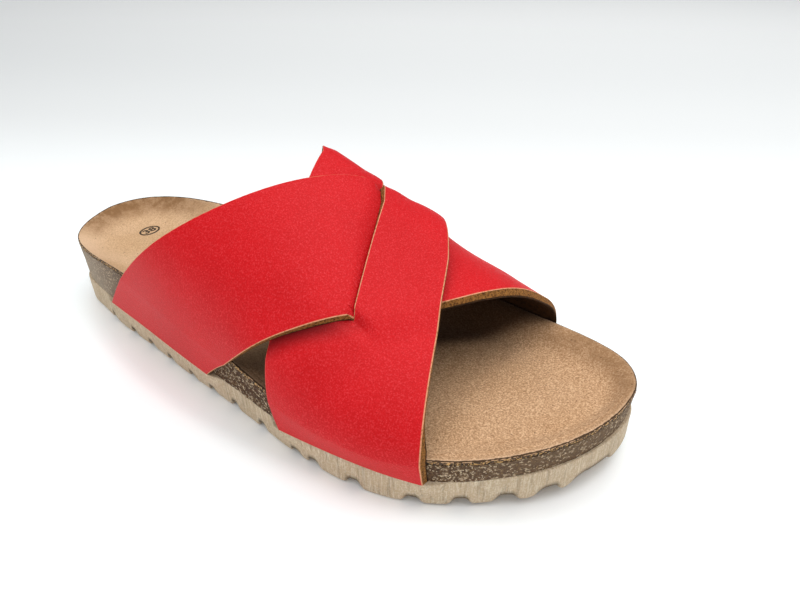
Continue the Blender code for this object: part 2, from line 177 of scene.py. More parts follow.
class Edge:  # the ring of the sole's rim: the outer side from heel to toe, then the inner side back
    def __init__(self, sideSteps):
        self.sideSteps = sideSteps
        turns = np.linspace(0.0, math.pi, sideSteps + 1)
        back = turns[-2:0:-1]
        self.turns = np.concatenate((turns, back))
        self.isOuter = np.arange(len(self.turns)) <= sideSteps
        self.x = sole["length"] * (1.0 - np.cos(self.turns)) / 2.0
        self.y = np.concatenate((soleCurves["outerY"](turns), soleCurves["innerY"](back)))
        self.rim = np.concatenate((soleCurves["outerRim"](turns), soleCurves["innerRim"](back)))
        self.points = np.stack((self.x, self.y), axis=1)
        along = np.roll(self.points, -1, axis=0) - np.roll(self.points, 1, axis=0)
        normals = np.stack((along[:, 1], -along[:, 0]), axis=1)
        normals /= np.linalg.norm(normals, axis=1)[:, None]
        outward = ((self.points - self.points.mean(axis=0)) * normals).sum()
        self.normals = normals * np.sign(outward)
        share = (1.0 - np.cos(self.turns)) / 2.0
        middleLength = sole["length"] - sole["midlineHeel"] - sole["midlineToe"]
        middleX = sole["midlineHeel"] + middleLength * share
        middleTurns = turnAt(middleX)
        middleY = (soleCurves["outerY"](middleTurns) + soleCurves["innerY"](middleTurns)) / 2.0
        self.middle = np.stack((middleX, middleY), axis=1)
        self.reach = np.linalg.norm(self.points - self.middle, axis=1)

    def moved(self, distance):
        return self.points + self.normals * np.reshape(distance, (-1, 1))

    def inward(self, ring, share):  # the ring drawn in towards the shoe's middle line
        return self.middle + (ring - self.middle) * np.reshape(share, (-1, 1))

    def sides(self, ring):  # the ring's outer and inner side, both from heel to toe
        return ring[:self.sideSteps + 1], np.concatenate((ring[:1], ring[:self.sideSteps - 1:-1]))

    def across(self, ring, steps):  # strips from the outer side to the inner side of a ring
        outer, inner = self.sides(ring)
        shares = np.linspace(0.0, 1.0, steps + 1)[None, :, None]
        return mix(outer[:, None], inner[:, None], shares)

    def sideLine(self, distance, isOuter):  # y by x along one side
        outer, inner = self.sides(self.moved(distance))
        side = outer if isOuter else inner
        return lambda x: np.interp(x, side[:, 0], side[:, 1])


def withHeight(xy, z):
    return np.concatenate((xy, np.broadcast_to(z, xy.shape[:-1])[..., None]), axis=-1)


# The frame's place for the shoe's own zero point, from the footbed's solid
lowest, highest = (np.array(corner) * 1000.0 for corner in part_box("footbed"))
wholeEdge = Edge(sole["outlineSteps"])
zeroX = lowest[0] - wholeEdge.x.min()
zeroY = (lowest[1] + highest[1] - wholeEdge.y.min() - wholeEdge.y.max()) / 2.0


def toFrame(points):  # from the shoe's own millimetres to the frame's metres
    return (np.asarray(points, dtype=float) + (zeroX, zeroY, 0.0)) / 1000.0


def addObject(name, data):
    made = bpy.data.objects.new(name, data)
    bpy.context.scene.collection.objects.link(made)
    return made


# Meshes are made from patches of points, which are welded where they meet

class Skin:
    weld = 0.000003  # in metres

    def __init__(self, name, looks, sharpAngle):
        self.name = name
        self.looks = looks
        self.sharpAngle = sharpAngle
        self.points = []
        self.faces = []
        self.faceLooks = []
        self.count = 0
        self.marks = {}

    def patch(self, points, look=0, wrap=False, **marks):  # rows of points, which wrap closes into rings
        points = np.stack(points)
        rows, columns = points.shape[:2]
        index = np.arange(rows * columns).reshape(rows, columns) + self.count
        if wrap:
            index = np.concatenate((index, index[:, :1]), axis=1)
        quads = np.stack((index[:-1, :-1], index[1:, :-1], index[1:, 1:], index[:-1, 1:]), axis=-1)
        self.points.append(points.reshape(-1, 3))
        self.faces.append(quads.reshape(-1, 4))
        looks = np.broadcast_to(look, (columns if wrap else columns - 1,))
        self.faceLooks.append(np.broadcast_to(looks, quads.shape[:2]).reshape(-1))
        for name, values in marks.items():
            start = self.marks.setdefault(name, [])
            start.append((self.count, np.broadcast_to(values, (rows, columns)).reshape(-1)))
        self.count += rows * columns

    def make(self):
        mesh = bpy.data.meshes.new(self.name)
        points = toFrame(np.concatenate(self.points))
        faces = np.concatenate(self.faces)
        mesh.from_pydata(points.tolist(), [], faces.tolist())
        mesh.polygons.foreach_set("material_index", np.concatenate(self.faceLooks).astype(np.int32))
        for name, runs in self.marks.items():
            values = np.zeros(len(points), dtype=np.float32)
            for start, run in runs:
                values[start:start + len(run)] = run
            mesh.attributes.new(name, "FLOAT", "POINT").data.foreach_set("value", values)
        for look in self.looks:
            mesh.materials.append(look)
        shape = bmesh.new()
        shape.from_mesh(mesh)
        bmesh.ops.remove_doubles(shape, verts=shape.verts, dist=self.weld)
        bmesh.ops.recalc_face_normals(shape, faces=shape.faces)
        shape.to_mesh(mesh)
        shape.free()
        mesh.shade_smooth()
        mesh.set_sharp_from_angle(angle=math.radians(self.sharpAngle))
        print(self.name, len(mesh.polygons), "faces")
        return addObject(self.name, mesh)


# Shaders

def paint(red, green, blue):  # a colour as a screen shows it, from 0 to 255, made linear
    shown = np.array((red, green, blue)) / 255.0
    # The numbers below are those of the sRGB curve
    linear = np.where(shown <= 0.04045, shown / 12.92, ((shown + 0.055) / 1.055) ** 2.4)
    return (*linear.tolist(), 1.0)


class Wire:  # one output socket, usable in sums
    def __init__(self, finish, socket):
        self.finish = finish
        self.socket = socket

    def sum(self, operation, first, second):
        return self.finish.node("Math", {"operation": operation}, {0: first, 1: second})

    def __add__(self, other):
        return self.sum("ADD", self, other)

    def __radd__(self, other):
        return self.sum("ADD", other, self)

    def __sub__(self, other):
        return self.sum("SUBTRACT", self, other)

    def __rsub__(self, other):
        return self.sum("SUBTRACT", other, self)

    def __mul__(self, other):
        return self.sum("MULTIPLY", self, other)

    def __rmul__(self, other):
        return self.sum("MULTIPLY", other, self)


class Finish:  # one material
    def __init__(self, name, **constants):
        self.material = bpy.data.materials.new(name)
        self.material.use_nodes = True
        self.tree = self.material.node_tree
        self.shader = self.tree.nodes["Principled BSDF"]
        for socket, value in constants.items():
            self.shader.inputs[socket.replace("_", " ")].default_value = value

    def node(self, kind, settings=None, sockets=None, output=0):
        made = self.tree.nodes.new("ShaderNode" + kind)
        for name, value in (settings or {}).items():
            setattr(made, name, value)
        for name, value in (sockets or {}).items():
            self.feed(made.inputs[name], value)
        return Wire(self, made.outputs[output])

    def feed(self, socket, value):
        if isinstance(value, Wire):
            self.tree.links.new(value.socket, socket)
        else:
            socket.default_value = value

    def wear(self, **wires):
        for socket, wire in wires.items():
            self.feed(self.shader.inputs[socket.replace("_", " ")], wire)

    def place(self, stretch=(1.0, 1.0, 1.0)):  # the point of the shoe in mm
        spot = self.node("TexCoord", output="Object")
        scale = tuple(1000.0 * value for value in stretch)
        return self.node("VectorMath", {"operation": "MULTIPLY"}, {0: spot, 1: scale})

    def fuzz(self, place, size, detail, roughness):  # cloudy noise, its size in mm
        sockets = {"Vector": place, "Scale": 1.0 / size, "Detail": detail, "Roughness": roughness}
        return self.node("TexNoise", None, sockets)

    def grains(self, place, size, feature="F1", output="Distance"):
        sockets = {"Vector": place, "Scale": 1.0 / size}
        return self.node("TexVoronoi", {"feature": feature}, sockets, output)

    def split(self, colour, part):  # one part of a colour, a different number for each grain
        return self.node("SeparateColor", None, {0: colour}, part)

    def ramp(self, value, low, high):  # 0 at low, 1 at high and beyond
        sockets = {"Value": value, "From Min": low, "From Max": high}
        return self.node("MapRange", {"interpolation_type": "SMOOTHSTEP"}, sockets)

    def tint(self, share, first, second):
        # The Mix node's colours are its inputs 6 and 7 and its output 2
        return self.node("Mix", {"data_type": "RGBA"}, {"Factor": share, 6: first, 7: second}, 2)

    def coats(self, colour, *layers):  # each layer is the share that it covers and its own colour
        for share, layer in layers:
            colour = self.tint(share, colour, layer)
        return colour

    def along(self, place, start, stop):  # 0 at the shoe's x of start, 1 at stop and beyond
        return self.ramp(self.node("SeparateXYZ", None, {0: place}), start + zeroX, stop + zeroX)

    def mark(self, name):
        return self.node("Attribute", {"attribute_name": name}, None, "Fac")

    def relief(self, height):  # height in mm
        return self.node("Bump", None, {"Height": height, "Distance": 0.001, "Strength": 1.0})


# The foam outsole

# A pair of numbers is where a change starts and its length, below 0 where it runs towards the heel
foam = {
    "flange": 3.15,           # how far it swells out under a strap's foot
    "flangeRamp": 8.0,
    "ledge": 1.0,             # how far it stands out at the tips of heel and toe,
    "heelTip": (25.0, -20.0),   # where its side is upright
    "toeTip": (225.0, 15.0),
    "corkOverlap": 0.1,
    "treadInset": 1.5,
    "topRound": 0.5,
    "treadRound": 1.3,
    "treadRise": 1.9,
    "swells": ((6.0, 2.0, 0.12),),   # size, seed and height of what is uneven on its side
    "knobs": ((2.3, 5.0, 0.3),),     # and on the edges of its tread
    "grooveDepth": 2.9,
    "groovePower": 4.0,       # how steep a groove's walls are
    "grooveHalfHeel": 2.3,    # half of a groove's width at the heel and under the toes
    "grooveHalfToe": 3.0,
    "widening": (140.0, 50.0),
    "waveLength": 26.0,
    "waveHeight": 2.6,
    "wavePhase": 0.6,
    "sideSteps": 600,
    "sideRows": 12,
    "hollowRows": (10.0, 2.0),   # painted shade from a groove covers the last rows of the side above it
    "hollowShare": 0.5,
    "roundRows": 5,
    "treadStrips": 40,
    "topStrips": 6,
    "sharpAngle": 50.0,
    "broad": (22.0, 3.0, 0.55),   # each noise is its size in mm, its detail and its roughness
    "fine": (0.7, 2.0, 0.7),
    "scratches": (0.5, 2.0, 0.6),
    "cuts": (1.1, 2.0, 0.6),
    "scratchStretch": 0.07,   # its scratches run up and down
    "cutStretch": 0.05,
    "pitSize": 2.4,
    "pitStart": 10.0,         # it is most pitted behind this x
    "pitEnd": 45.0,
    "colour": paint(200, 176, 147),
    "shade": paint(184, 162, 130),
    "dust": paint(238, 226, 202),
    "dirt": paint(120, 100, 76),
    # the colour of the painted shade in the grooves
    "deep": paint(74, 60, 44),
}
# The tread's grooves: the x where each one cuts the outer and the inner side
grooveRows = (
    (33.4, 35.0), (51.7, 51.0), (65.6, 65.0), (80.6, 79.0), (96.2, 93.0), (109.7, 107.0),
    (123.4, 121.5), (139.9, 136.0), (158.7, 150.0), (167.0, 164.0), (184.0, 178.0),
    (204.3, 192.0), (218.1, 205.0), (229.7, 218.0), (240.1, 232.0), (247.6, 246.0),
)

# The straps' edges: x at each share of the way over the foot, from the outer side
edgeShares = (0.0, 0.12, 0.30, 0.50, 0.70, 0.88, 1.0)
strapEdges = {
    "backStrapRear": (38.0, 71.0, 113.5, 146.0, 165.0, 162.5, 143.5),
    "backStrapFront": (111.0, 136.0, 169.9, 199.5, 210.0, 212.0, 212.0),
    "frontStrapRear": (153.5, 151.0, 144.0, 126.5, 111.5, 83.0, 55.0),
    "frontStrapFront": (208.6, 208.8, 202.5, 185.5, 161.5, 137.0, 114.5),
}


def treadHeight(x, y):  # the underside of the foam: the floor, the toe spring and the wavy grooves
    deepest = np.zeros_like(x)
    wave = foam["waveHeight"] * np.sin(2.0 * math.pi * y / foam["waveLength"] + foam["wavePhase"])
    for outerX, innerX in grooveRows:
        outerY, innerY = soleCurves["outerY"](turnAt(outerX)), soleCurves["innerY"](turnAt(innerX))
        share = np.clip((y - outerY) / (innerY - outerY), 0.0, 1.0)
        line = mix(outerX, innerX, share) + wave * np.sin(math.pi * share)
        halfWidth = mix(foam["grooveHalfHeel"], foam["grooveHalfToe"], fade(outerX, *foam["widening"]))
        depth = foam["grooveDepth"] * np.exp(-(np.abs(x - line) / halfWidth) ** foam["groovePower"])
        deepest = np.maximum(deepest, depth)
    return toeSpring(x) + deepest


def strapFeet(edge, reach, length):  # 1 beside a strap's foot, rising from a reach outside its edges
    beside = np.zeros(len(edge.x))
    for strap in ("backStrap", "frontStrap"):
        rear, front = (np.where(edge.isOuter, strapEdges[strap + end][0], strapEdges[strap + end][-1])
                       for end in ("Rear", "Front"))
        foot = fade(edge.x, rear - reach, length) * fade(edge.x, front + reach, -length)
        beside = np.maximum(beside, foot)
    return beside


# The straps are cut straight at the foam, so each foot stays on a chord inside the sole's bulge
footRows = (   # whether it is on the outer side, then x from and to
    (True, 34.0, 115.0),
    (True, 150.0, 214.0),
    (False, 51.0, 118.5),
    (False, 139.5, 216.0),
)
feet = {
    "chordShare": 0.65,
    "heelTuck": 1.0,          # the outer side's rear foot lies further in
    "heelTuckEnd": (140.0, -15.0),
    "tuckPower": 1.3,         # how it leans in from the rim down to the foam
}


def footTuck(x, isOuter):  # how far a strap's foot lies inside the line beside the sole
    x = np.asarray(x, dtype=float)
    turns = turnAt(x)
    tuck = feet["heelTuck"] * fade(x, *feet["heelTuckEnd"]) * isOuter
    for outer, start, stop in footRows:
        side = soleCurves["outerY" if outer else "innerY"]
        chord = np.interp(x, (start, stop), np.abs(side(turnAt((start, stop)))))
        belly = np.clip(np.abs(side(turns)) - chord, 0.0, None) * feet["chordShare"]
        tuck = tuck + np.where((x > start) & (x < stop) & (isOuter == outer), belly, 0.0)
    return tuck


def makeFoamFinish():
    finish = Finish("foamRubber", Specular_IOR_Level=0.3)
    place = finish.place()
    broad = finish.fuzz(place, *foam["broad"])
    fine = finish.fuzz(place, *foam["fine"])
    scratches = finish.fuzz(finish.place((1.0, 1.0, foam["scratchStretch"])), *foam["scratches"])
    grooves = finish.fuzz(finish.place((1.0, 1.0, foam["cutStretch"])), *foam["cuts"])
    pits = finish.ramp(finish.grains(place, foam["pitSize"]), 0.20, 0.08)
    pits = pits * (0.1 + finish.along(place, foam["pitEnd"], foam["pitStart"]) * 0.6)
    lines = finish.ramp(scratches, 0.52, 0.64)
    cuts = finish.ramp(grooves, 0.56, 0.68)
    colour = finish.coats(
        foam["colour"],
        (finish.ramp(broad, 0.35, 0.7) * 0.4, foam["shade"]),
        (finish.ramp(fine, 0.52, 0.38) * 0.35, foam["dust"]),
        (finish.ramp(fine, 0.52, 0.66) * 0.35, foam["shade"]),
        (finish.ramp(scratches, 0.48, 0.36) * 0.38, foam["shade"]),
        (lines * 0.45, foam["dust"]),
        (cuts * 0.26, foam["dirt"]),
        (pits * 0.6, foam["dirt"]),
        # painted shade in the grooves and on the side just above them
        (finish.mark("hollow") * 0.85, foam["deep"]))
    height = fine * 0.1 + lines * 0.1 - cuts * 0.16 - pits * 0.2
    finish.wear(Base_Color=colour, Roughness=0.78 + fine * 0.12, Normal=finish.relief(height))
    return finish.material


def makeOutsole():
    edge = Edge(foam["sideSteps"])
    tips = fade(edge.x, *foam["heelTip"]) + fade(edge.x, *foam["toeTip"])
    treadInset = foam["treadInset"] * (1.0 - tips)
    swelling = foam["flange"] - footTuck(edge.x, edge.isOuter)
    swelling = swelling * strapFeet(edge, foam["flangeRamp"], foam["flangeRamp"])
    outTop = swelling + foam["ledge"] * tips - corkInset(edge.x) + foam["corkOverlap"]
    skin = Skin("foamOutsole", [makeFoamFinish()], foam["sharpAngle"])
    zTop = foamTop(edge.x)
    rows, hollows = [], [np.zeros_like(zTop)] * foam["roundRows"]
    for angle in np.radians(np.linspace(0.0, 90.0, foam["roundRows"])):
        inset = foam["topRound"] * (1.0 - math.sin(angle))
        drop = foam["topRound"] * (1.0 - math.cos(angle))
        rows.append(withHeight(edge.moved(outTop - inset), zTop - drop))
    tread = edge.moved(-treadInset)
    bottom = treadHeight(tread[:, 0], tread[:, 1])
    # painted shade of a groove, by how deep the tread is cut under this point
    hollow = fade(bottom, toeSpring(tread[:, 0]), foam["grooveDepth"])
    knobs = unevenness(withHeight(edge.points, 0.0), foam["knobs"])
    start, stop = zTop - foam["topRound"], bottom + foam["treadRise"] + knobs
    for row in range(1, foam["sideRows"] + 1):
        z = mix(start, stop, row / foam["sideRows"])
        fall = (start - z) / (start - toeSpring(edge.x) - foam["treadRise"])
        swell = unevenness(withHeight(edge.points, z), foam["swells"])
        out = mix(outTop, -treadInset, fall) + swell
        rows.append(withHeight(edge.moved(out), z))
        hollows.append(hollow * foam["hollowShare"] * fade(row, *foam["hollowRows"]))
    for angle in np.radians(np.linspace(0.0, 90.0, foam["roundRows"] + 1)[1:]):
        inset = foam["treadRound"] * (1.0 - math.cos(angle))
        drop = (foam["treadRise"] + knobs) * math.sin(angle)
        rows.append(withHeight(edge.moved(out - inset), stop - drop))
        hollows.append(hollow)
    skin.patch(rows, wrap=True, hollow=hollows)
    under = edge.across(rows[-1][:, :2], foam["treadStrips"])
    z = treadHeight(under[..., 0], under[..., 1])
    z[:, (0, -1)] = np.stack(edge.sides(rows[-1][:, 2]), axis=1)
    skin.patch(withHeight(under, z))
    over = edge.across(rows[0][:, :2], foam["topStrips"])
    skin.patch(withHeight(over, foamTop(over[..., 0])))
    piece = skin.make()
    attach(piece, "root")
    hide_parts("outsole")


# The cork midsole

cork = {
    "gap": 0.3,
    "recessFade": 5.0,
    "foamOverlap": 0.1,
    "sideSteps": 480,
    "wallRows": 26,
    "innerShares": (0.9, 0.75, 0.5, 0.25, 0.0),
    "crumbs": ((1.6, 1.0, 0.16), (5.0, 3.0, 0.1)),   # size, seed and height of its roughness
    "backset": 0.05,
    "sharpAngle": 50.0,
    "chipSize": 0.9,
    "speckSize": 0.6,
    "drift": (1.4, 1.4, 1.4),   # how far the chips' shapes are bent, and how closely the bends follow
    "driftScale": 0.9,
    "fine": (0.8, 3.0, 0.7),
    "dark": paint(66, 44, 32),
    "brown": paint(110, 82, 60),
    "pale": paint(214, 192, 160),
    "gold": paint(158, 122, 72),
    "heelGrey": paint(200, 183, 162),
    "toeBrown": paint(168, 142, 112),
    "heelStart": 5.0,
    "heelEnd": 80.0,
    "toeStart": 190.0,
}


def bedHeight(xy, share, edge):  # height of the bed's surface, and from 0 to 1 how far up its rim it is
    x = xy[..., 0]
    floor = bedCurves["floor"](x)
    flat = np.where(edge.isOuter, bedCurves["outerFlat"](x), bedCurves["innerFlat"](x))
    roundness = np.clip(bedCurves["roundness"](x), 0.0, 1.0)
    climb = np.clip((share - flat) / (1.0 - flat), 0.0, 1.0)
    climb = climb ** 2 * (1.0 - roundness) + smooth(climb) * roundness
    ridge = suede["ridgeHeight"] * bump(x - suede["ridgeX"], suede["ridgeWidth"]) * (1.0 - climb)
    return floor + (edge.rim - floor) * climb + ridge, climb


def bedRings(edge, drop):  # from the rim to the middle line, a drop below the bed's surface
    rings = []
    for share in cork["innerShares"]:
        xy = edge.inward(edge.points, share)
        rings.append(withHeight(xy, bedHeight(xy, share, edge)[0] - drop))
    return rings


def makeCorkFinish():
    finish = Finish("corkGranules", Specular_IOR_Level=0.25)
    place = finish.place()
    drift = finish.node("TexNoise", None, {"Vector": place, "Scale": cork["driftScale"]}, "Color")
    sockets = {0: drift, 1: cork["drift"], 2: place}
    bent = finish.node("VectorMath", {"operation": "MULTIPLY_ADD"}, sockets)
    chips = finish.split(finish.grains(bent, cork["chipSize"], "F1", "Color"), "Red")
    specks = finish.split(finish.grains(bent, cork["speckSize"], "F1", "Color"), "Green")
    seams = finish.ramp(finish.grains(bent, cork["chipSize"], "DISTANCE_TO_EDGE"), 0.12, 0.0)
    fine = finish.fuzz(place, *cork["fine"])
    colour = finish.coats(
        cork["dark"],
        (chips, cork["brown"]),
        (finish.ramp(chips, 0.84, 0.96) * 0.6, cork["pale"]),
        (finish.ramp(specks, 0.85, 0.92) * 0.95, cork["pale"]),
        (finish.ramp(specks, 0.24, 0.12) * 0.8, cork["dark"]),
        (finish.ramp(fine, 0.50, 0.66) * 0.45, cork["gold"]),
        (seams * 0.5, cork["dark"]),
        (finish.along(place, cork["toeStart"], sole["length"]) * 0.25, cork["toeBrown"]),
        (finish.along(place, cork["heelEnd"], cork["heelStart"]) * 0.64, cork["heelGrey"]))
    height = chips * 0.12 - seams * 0.12 + fine * 0.2
    finish.wear(Base_Color=colour, Roughness=0.78 + fine * 0.15, Normal=finish.relief(height))
    return finish.material


def strapRecess(edge):  # the cork gives way where a strap's foot lies closer in
    tuck = np.clip(footTuck(edge.x, edge.isOuter) - cork["gap"], 0.0, None)
    return strapFeet(edge, 0.0, cork["recessFade"]) * tuck


def makeCork():
    edge = Edge(cork["sideSteps"])
    skin = Skin("corkMidsole", [makeCorkFinish()], cork["sharpAngle"])
    topDrop = sole["lining"] + cork["gap"]
    foot = -corkInset(edge.x)
    recess = strapRecess(edge)
    rows = []
    for row in range(cork["wallRows"] + 1):
        share = row / cork["wallRows"]
        z = mix(edge.rim - topDrop, foamTop(edge.x) - cork["foamOverlap"], share)
        lean = foot * share - recess * share ** feet["tuckPower"]
        rough = unevenness(withHeight(edge.moved(lean), z), cork["crumbs"])
        rows.append(withHeight(edge.moved(lean + rough - cork["backset"]), z))
    skin.patch(rows, wrap=True)
    bottom = [rows[-1]]
    for share in cork["innerShares"]:
        xy = edge.inward(edge.moved(foot - recess), share)
        bottom.append(withHeight(xy, foamTop(xy[:, 0]) + cork["foamOverlap"]))
    skin.patch([rows[0]] + bedRings(edge, topDrop), wrap=True)
    skin.patch(bottom, wrap=True)
    piece = skin.make()
    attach(piece, "root")
    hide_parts("cork_midsole")


# The suede footbed

suede = {
    "ridgeX": 207.0,          # the soft bar under the toes
    "ridgeHeight": 1.2,
    "ridgeWidth": 9.0,
    "sideSteps": 400,
    "rimSteps": (0.0, 0.2, 0.45, 0.8, 1.2, 1.6, 2.0, 2.4, 2.8, 3.2, 3.6, 4.0, 4.6, 5.4, 6.4),
    "innerRings": 34,
    "rimRound": 0.45,
    "lineInset": 2.8,         # a pressed line that follows the rim of the outer side
    "lineDepth": 0.35,
    "lineWidth": 0.45,
    "lineStart": (120.0, 30.0),
    "swells": ((5.0, 7.0, 0.07),),   # size, seed and height
    "rags": ((0.8, 4.0, 0.35), (2.6, 9.0, 0.25)),
    "ragGrowth": 1.2,         # how soon they reach their height below the rim
    "sharpAngle": 60.0,
    "wrinkleLip": 0.6,        # each wrinkle pushes up a lip beside it
    "lipPlace": (1.9, 0.8),
    "nap": (0.62, 2.0, 0.7),
    "clouds": (17.0, 3.0, 0.5),
    "smudges": (4.5, 4.0, 0.7),
    "charSpots": (1.4, 3.0, 0.6),
    "beads": (0.8, 3.0, 0.7),
    "runs": (0.75, 2.0, 0.6),
    "speckSize": 2.7,
    "bright": paint(240, 203, 164),
    "light": paint(208, 172, 135),
    "tan": paint(197, 160, 121),
    "toeTan": paint(186, 142, 104),
    "toeTanStart": 110.0,
    "toeTanEnd": 160.0,
    "dark": paint(142, 106, 72),
    "paleAndLitTan": paint(226, 191, 158),
    "shadow": paint(56, 27, 8),
    "speck": paint(96, 68, 46),
    "burnt": paint(44, 26, 10),
    "gold": paint(204, 160, 98),
    "edgeRows": 7,
    "paleRim": (1.5, -1.0),        # how far in the rim is rubbed pale
    "paleShare": 0.8,
    "charRim": (0.81, -0.6),       # and how far in it is burnt in spots
    "charShare": 0.62,
    "coverStart": (115.0, 20.0),   # the suede is darker where the straps keep the light off
    "coverEnd": (168.5, -12.0),    # by x less y on the inner side
    "coverAcross": (0.0, 20.0),
    "coverOuter": 0.75,
    "heelEnd": (45.0, -30.0),      # the heel's rim has dirt, painted shade and painted light up to here,
    "toeStart": (190.0, 40.0),     # and the toe's rim has dirt and painted shade from here on
    "innerSide": (0.5, 0.9),       # dirt and painted shade where the rim looks ahead, and how much more inward
    "backCorner": (0.1, 1.1),      # and the same for the inner side's back corner,
    "cornerWay": (-0.8, 0.6),      # which lies this way
    "toeDirtAndShade": 0.75,
    "rimDirtAndShade": 0.08,
    "troughShade": 0.7,
    "dirtAndShadeClimb": 1.6,              # how soon dirt with painted shade, and painted light, set in up the rim
    "paintedLightClimb": 1.25,
}
# Soft wrinkles of the footbed: from x, y to x, y, then depth and width
bedWrinkles = (
    (197.8, 34.0, 205.5, 14.0, 0.45, 1.0),
    (191.5, 25.0, 198.0, 9.0, 0.35, 1.1),
    (186.0, 17.0, 191.5, 2.0, 0.26, 1.3),
    (206.0, 12.0, 209.0, -6.0, 0.14, 1.6),
    (60.0, 12.0, 66.0, -10.0, 0.10, 2.0),
)


def lineTrough(xy, row):  # a soft trough along a straight line
    fadeShare = 0.3       # each of its ends fades over this part of its length
    x0, y0, x1, y1, depth, width = row
    start, along = np.array((x0, y0)), np.array((x1 - x0, y1 - y0))
    length = np.linalg.norm(along)
    way = ((xy - start) @ along) / length ** 2
    away = (xy[..., 0] - x0) * along[1] - (xy[..., 1] - y0) * along[0]
    ends = fade(way, 0.0, fadeShare) * fade(way, 1.0, -fadeShare)
    return depth * bump(away / length, width) * ends


def makeSuedeFinish():
    finish = Finish("footbedSuede", Specular_IOR_Level=0.1, Sheen_Weight=0.04, Sheen_Roughness=0.5)
    place = finish.place()
    nap = finish.fuzz(place, *suede["nap"])
    toe = finish.along(place, suede["toeTanStart"], suede["toeTanEnd"])
    clouds = finish.fuzz(place, *suede["clouds"])
    smudges = finish.fuzz(place, *suede["smudges"])
    specks = finish.ramp(finish.grains(place, suede["speckSize"]), 0.16, 0.06)
    # dirt and painted shade from the mark, broken up by the smudges
    worn = finish.mark("grime") * (0.6 + finish.ramp(smudges, 0.38, 0.62) * 0.4)
    charred = finish.mark("char") + finish.fuzz(place, *suede["charSpots"]) * 0.9
    charred = finish.ramp(charred, 0.72, 0.86)
    colour = finish.coats(
        suede["light"],
        (finish.ramp(clouds, 0.35, 0.68), suede["tan"]),
        (toe * 0.65, suede["toeTan"]),
        (finish.ramp(nap, 0.50, 0.66) * (0.36 + toe * 0.32), suede["dark"]),
        (finish.ramp(nap, 0.50, 0.34) * (0.33 + toe * 0.28), suede["bright"]),
        # painted light up the heel's walls, and the rubbed pale rim
        (finish.mark("bleach") * 0.6, suede["paleAndLitTan"]),
        # dirt and painted shade
        (worn * 0.95, suede["dark"]),
        (finish.mark("cover") * 0.85, suede["shadow"]),
        (specks * finish.ramp(smudges, 0.46, 0.56) * 0.7, suede["speck"]),
        (charred * 0.9, suede["burnt"]))
    height = nap * 0.2 + smudges * 0.12
    finish.wear(Base_Color=colour, Roughness=0.82 + nap * 0.15, Normal=finish.relief(height))
    return finish.material


def makeEdgeFinish():
    finish = Finish("burntSuedeEdge", Specular_IOR_Level=0.4)
    place = finish.place()
    beads = finish.fuzz(place, *suede["beads"])
    runs = finish.fuzz(place, *suede["runs"])
    colour = finish.coats(
        suede["burnt"],
        (finish.ramp(beads, 0.50, 0.64), suede["dark"]),
        (finish.ramp(runs, 0.52, 0.60), suede["gold"]))
    finish.wear(Base_Color=colour, Roughness=0.45 + beads * 0.4, Normal=finish.relief(beads * 0.5))
    return finish.material


def bedMarks(edge, xy, inset, climb, troughs):  # from 0 to 1: where the suede has dirt and painted shade, painted light or a rubbed pale rim, painted shadow under the straps, or is burnt
    x, y = xy.T
    outX, outY = edge.normals.T
    inner, backInner = suede["innerSide"], suede["backCorner"]
    wayX, wayY = suede["cornerWay"]
    inward = smooth(inner[0] + inner[1] * outY)
    backInward = smooth(backInner[0] + backInner[1] * (wayY * outY + wayX * outX))
    heelward, toeward = fade(edge.x, *suede["heelEnd"]), fade(edge.x, *suede["toeStart"])
    rim = suede["paleShare"] * fade(inset, *suede["paleRim"])
    cover = fade(x - np.maximum(y, 0.0), *suede["coverEnd"]) * fade(x, *suede["coverStart"])
    # dirt and painted shade up the heel's back inner walls and the toe's inner walls
    farWallDirtAndShade = smooth(climb * suede["dirtAndShadeClimb"])
    farWallDirtAndShade = farWallDirtAndShade * (backInward * heelward + suede["toeDirtAndShade"] * inward * toeward)
    # painted light up the heel's other walls
    bleach = smooth(climb * suede["paintedLightClimb"]) * (1.0 - backInward) * heelward
    return {
        # dirt and painted shade up the rim, and painted shade in the wrinkles' troughs
        "grime": farWallDirtAndShade + suede["rimDirtAndShade"] * climb + suede["troughShade"] * troughs,
        "bleach": np.maximum(bleach, rim),
        "cover": cover * mix(suede["coverOuter"], 1.0, fade(y, *suede["coverAcross"])),
        "char": suede["charShare"] * fade(inset, *suede["charRim"]),
    }


def bedRing(edge, share):  # one ring of the footbed's top, and its marks
    xy = edge.inward(edge.points, share)
    z, climb = bedHeight(xy, share, edge)
    inset = (1.0 - share) * edge.reach
    rounding = np.clip(1.0 - inset / suede["rimRound"], 0.0, 1.0)
    z = z - suede["rimRound"] * (1.0 - np.sqrt(1.0 - rounding ** 2))
    pressed = fade(xy[:, 0], *suede["lineStart"]) * edge.isOuter
    z = z - suede["lineDepth"] * bump(inset - suede["lineInset"], suede["lineWidth"]) * pressed
    troughs = sum(lineTrough(xy, row) for row in bedWrinkles)
    lips = suede["wrinkleLip"] * sum(lineTrough(xy + suede["lipPlace"], row) for row in bedWrinkles)
    z = z - troughs + lips + unevenness(withHeight(xy, 0.0), suede["swells"])
    return withHeight(xy, z), bedMarks(edge, xy, inset, climb, troughs)


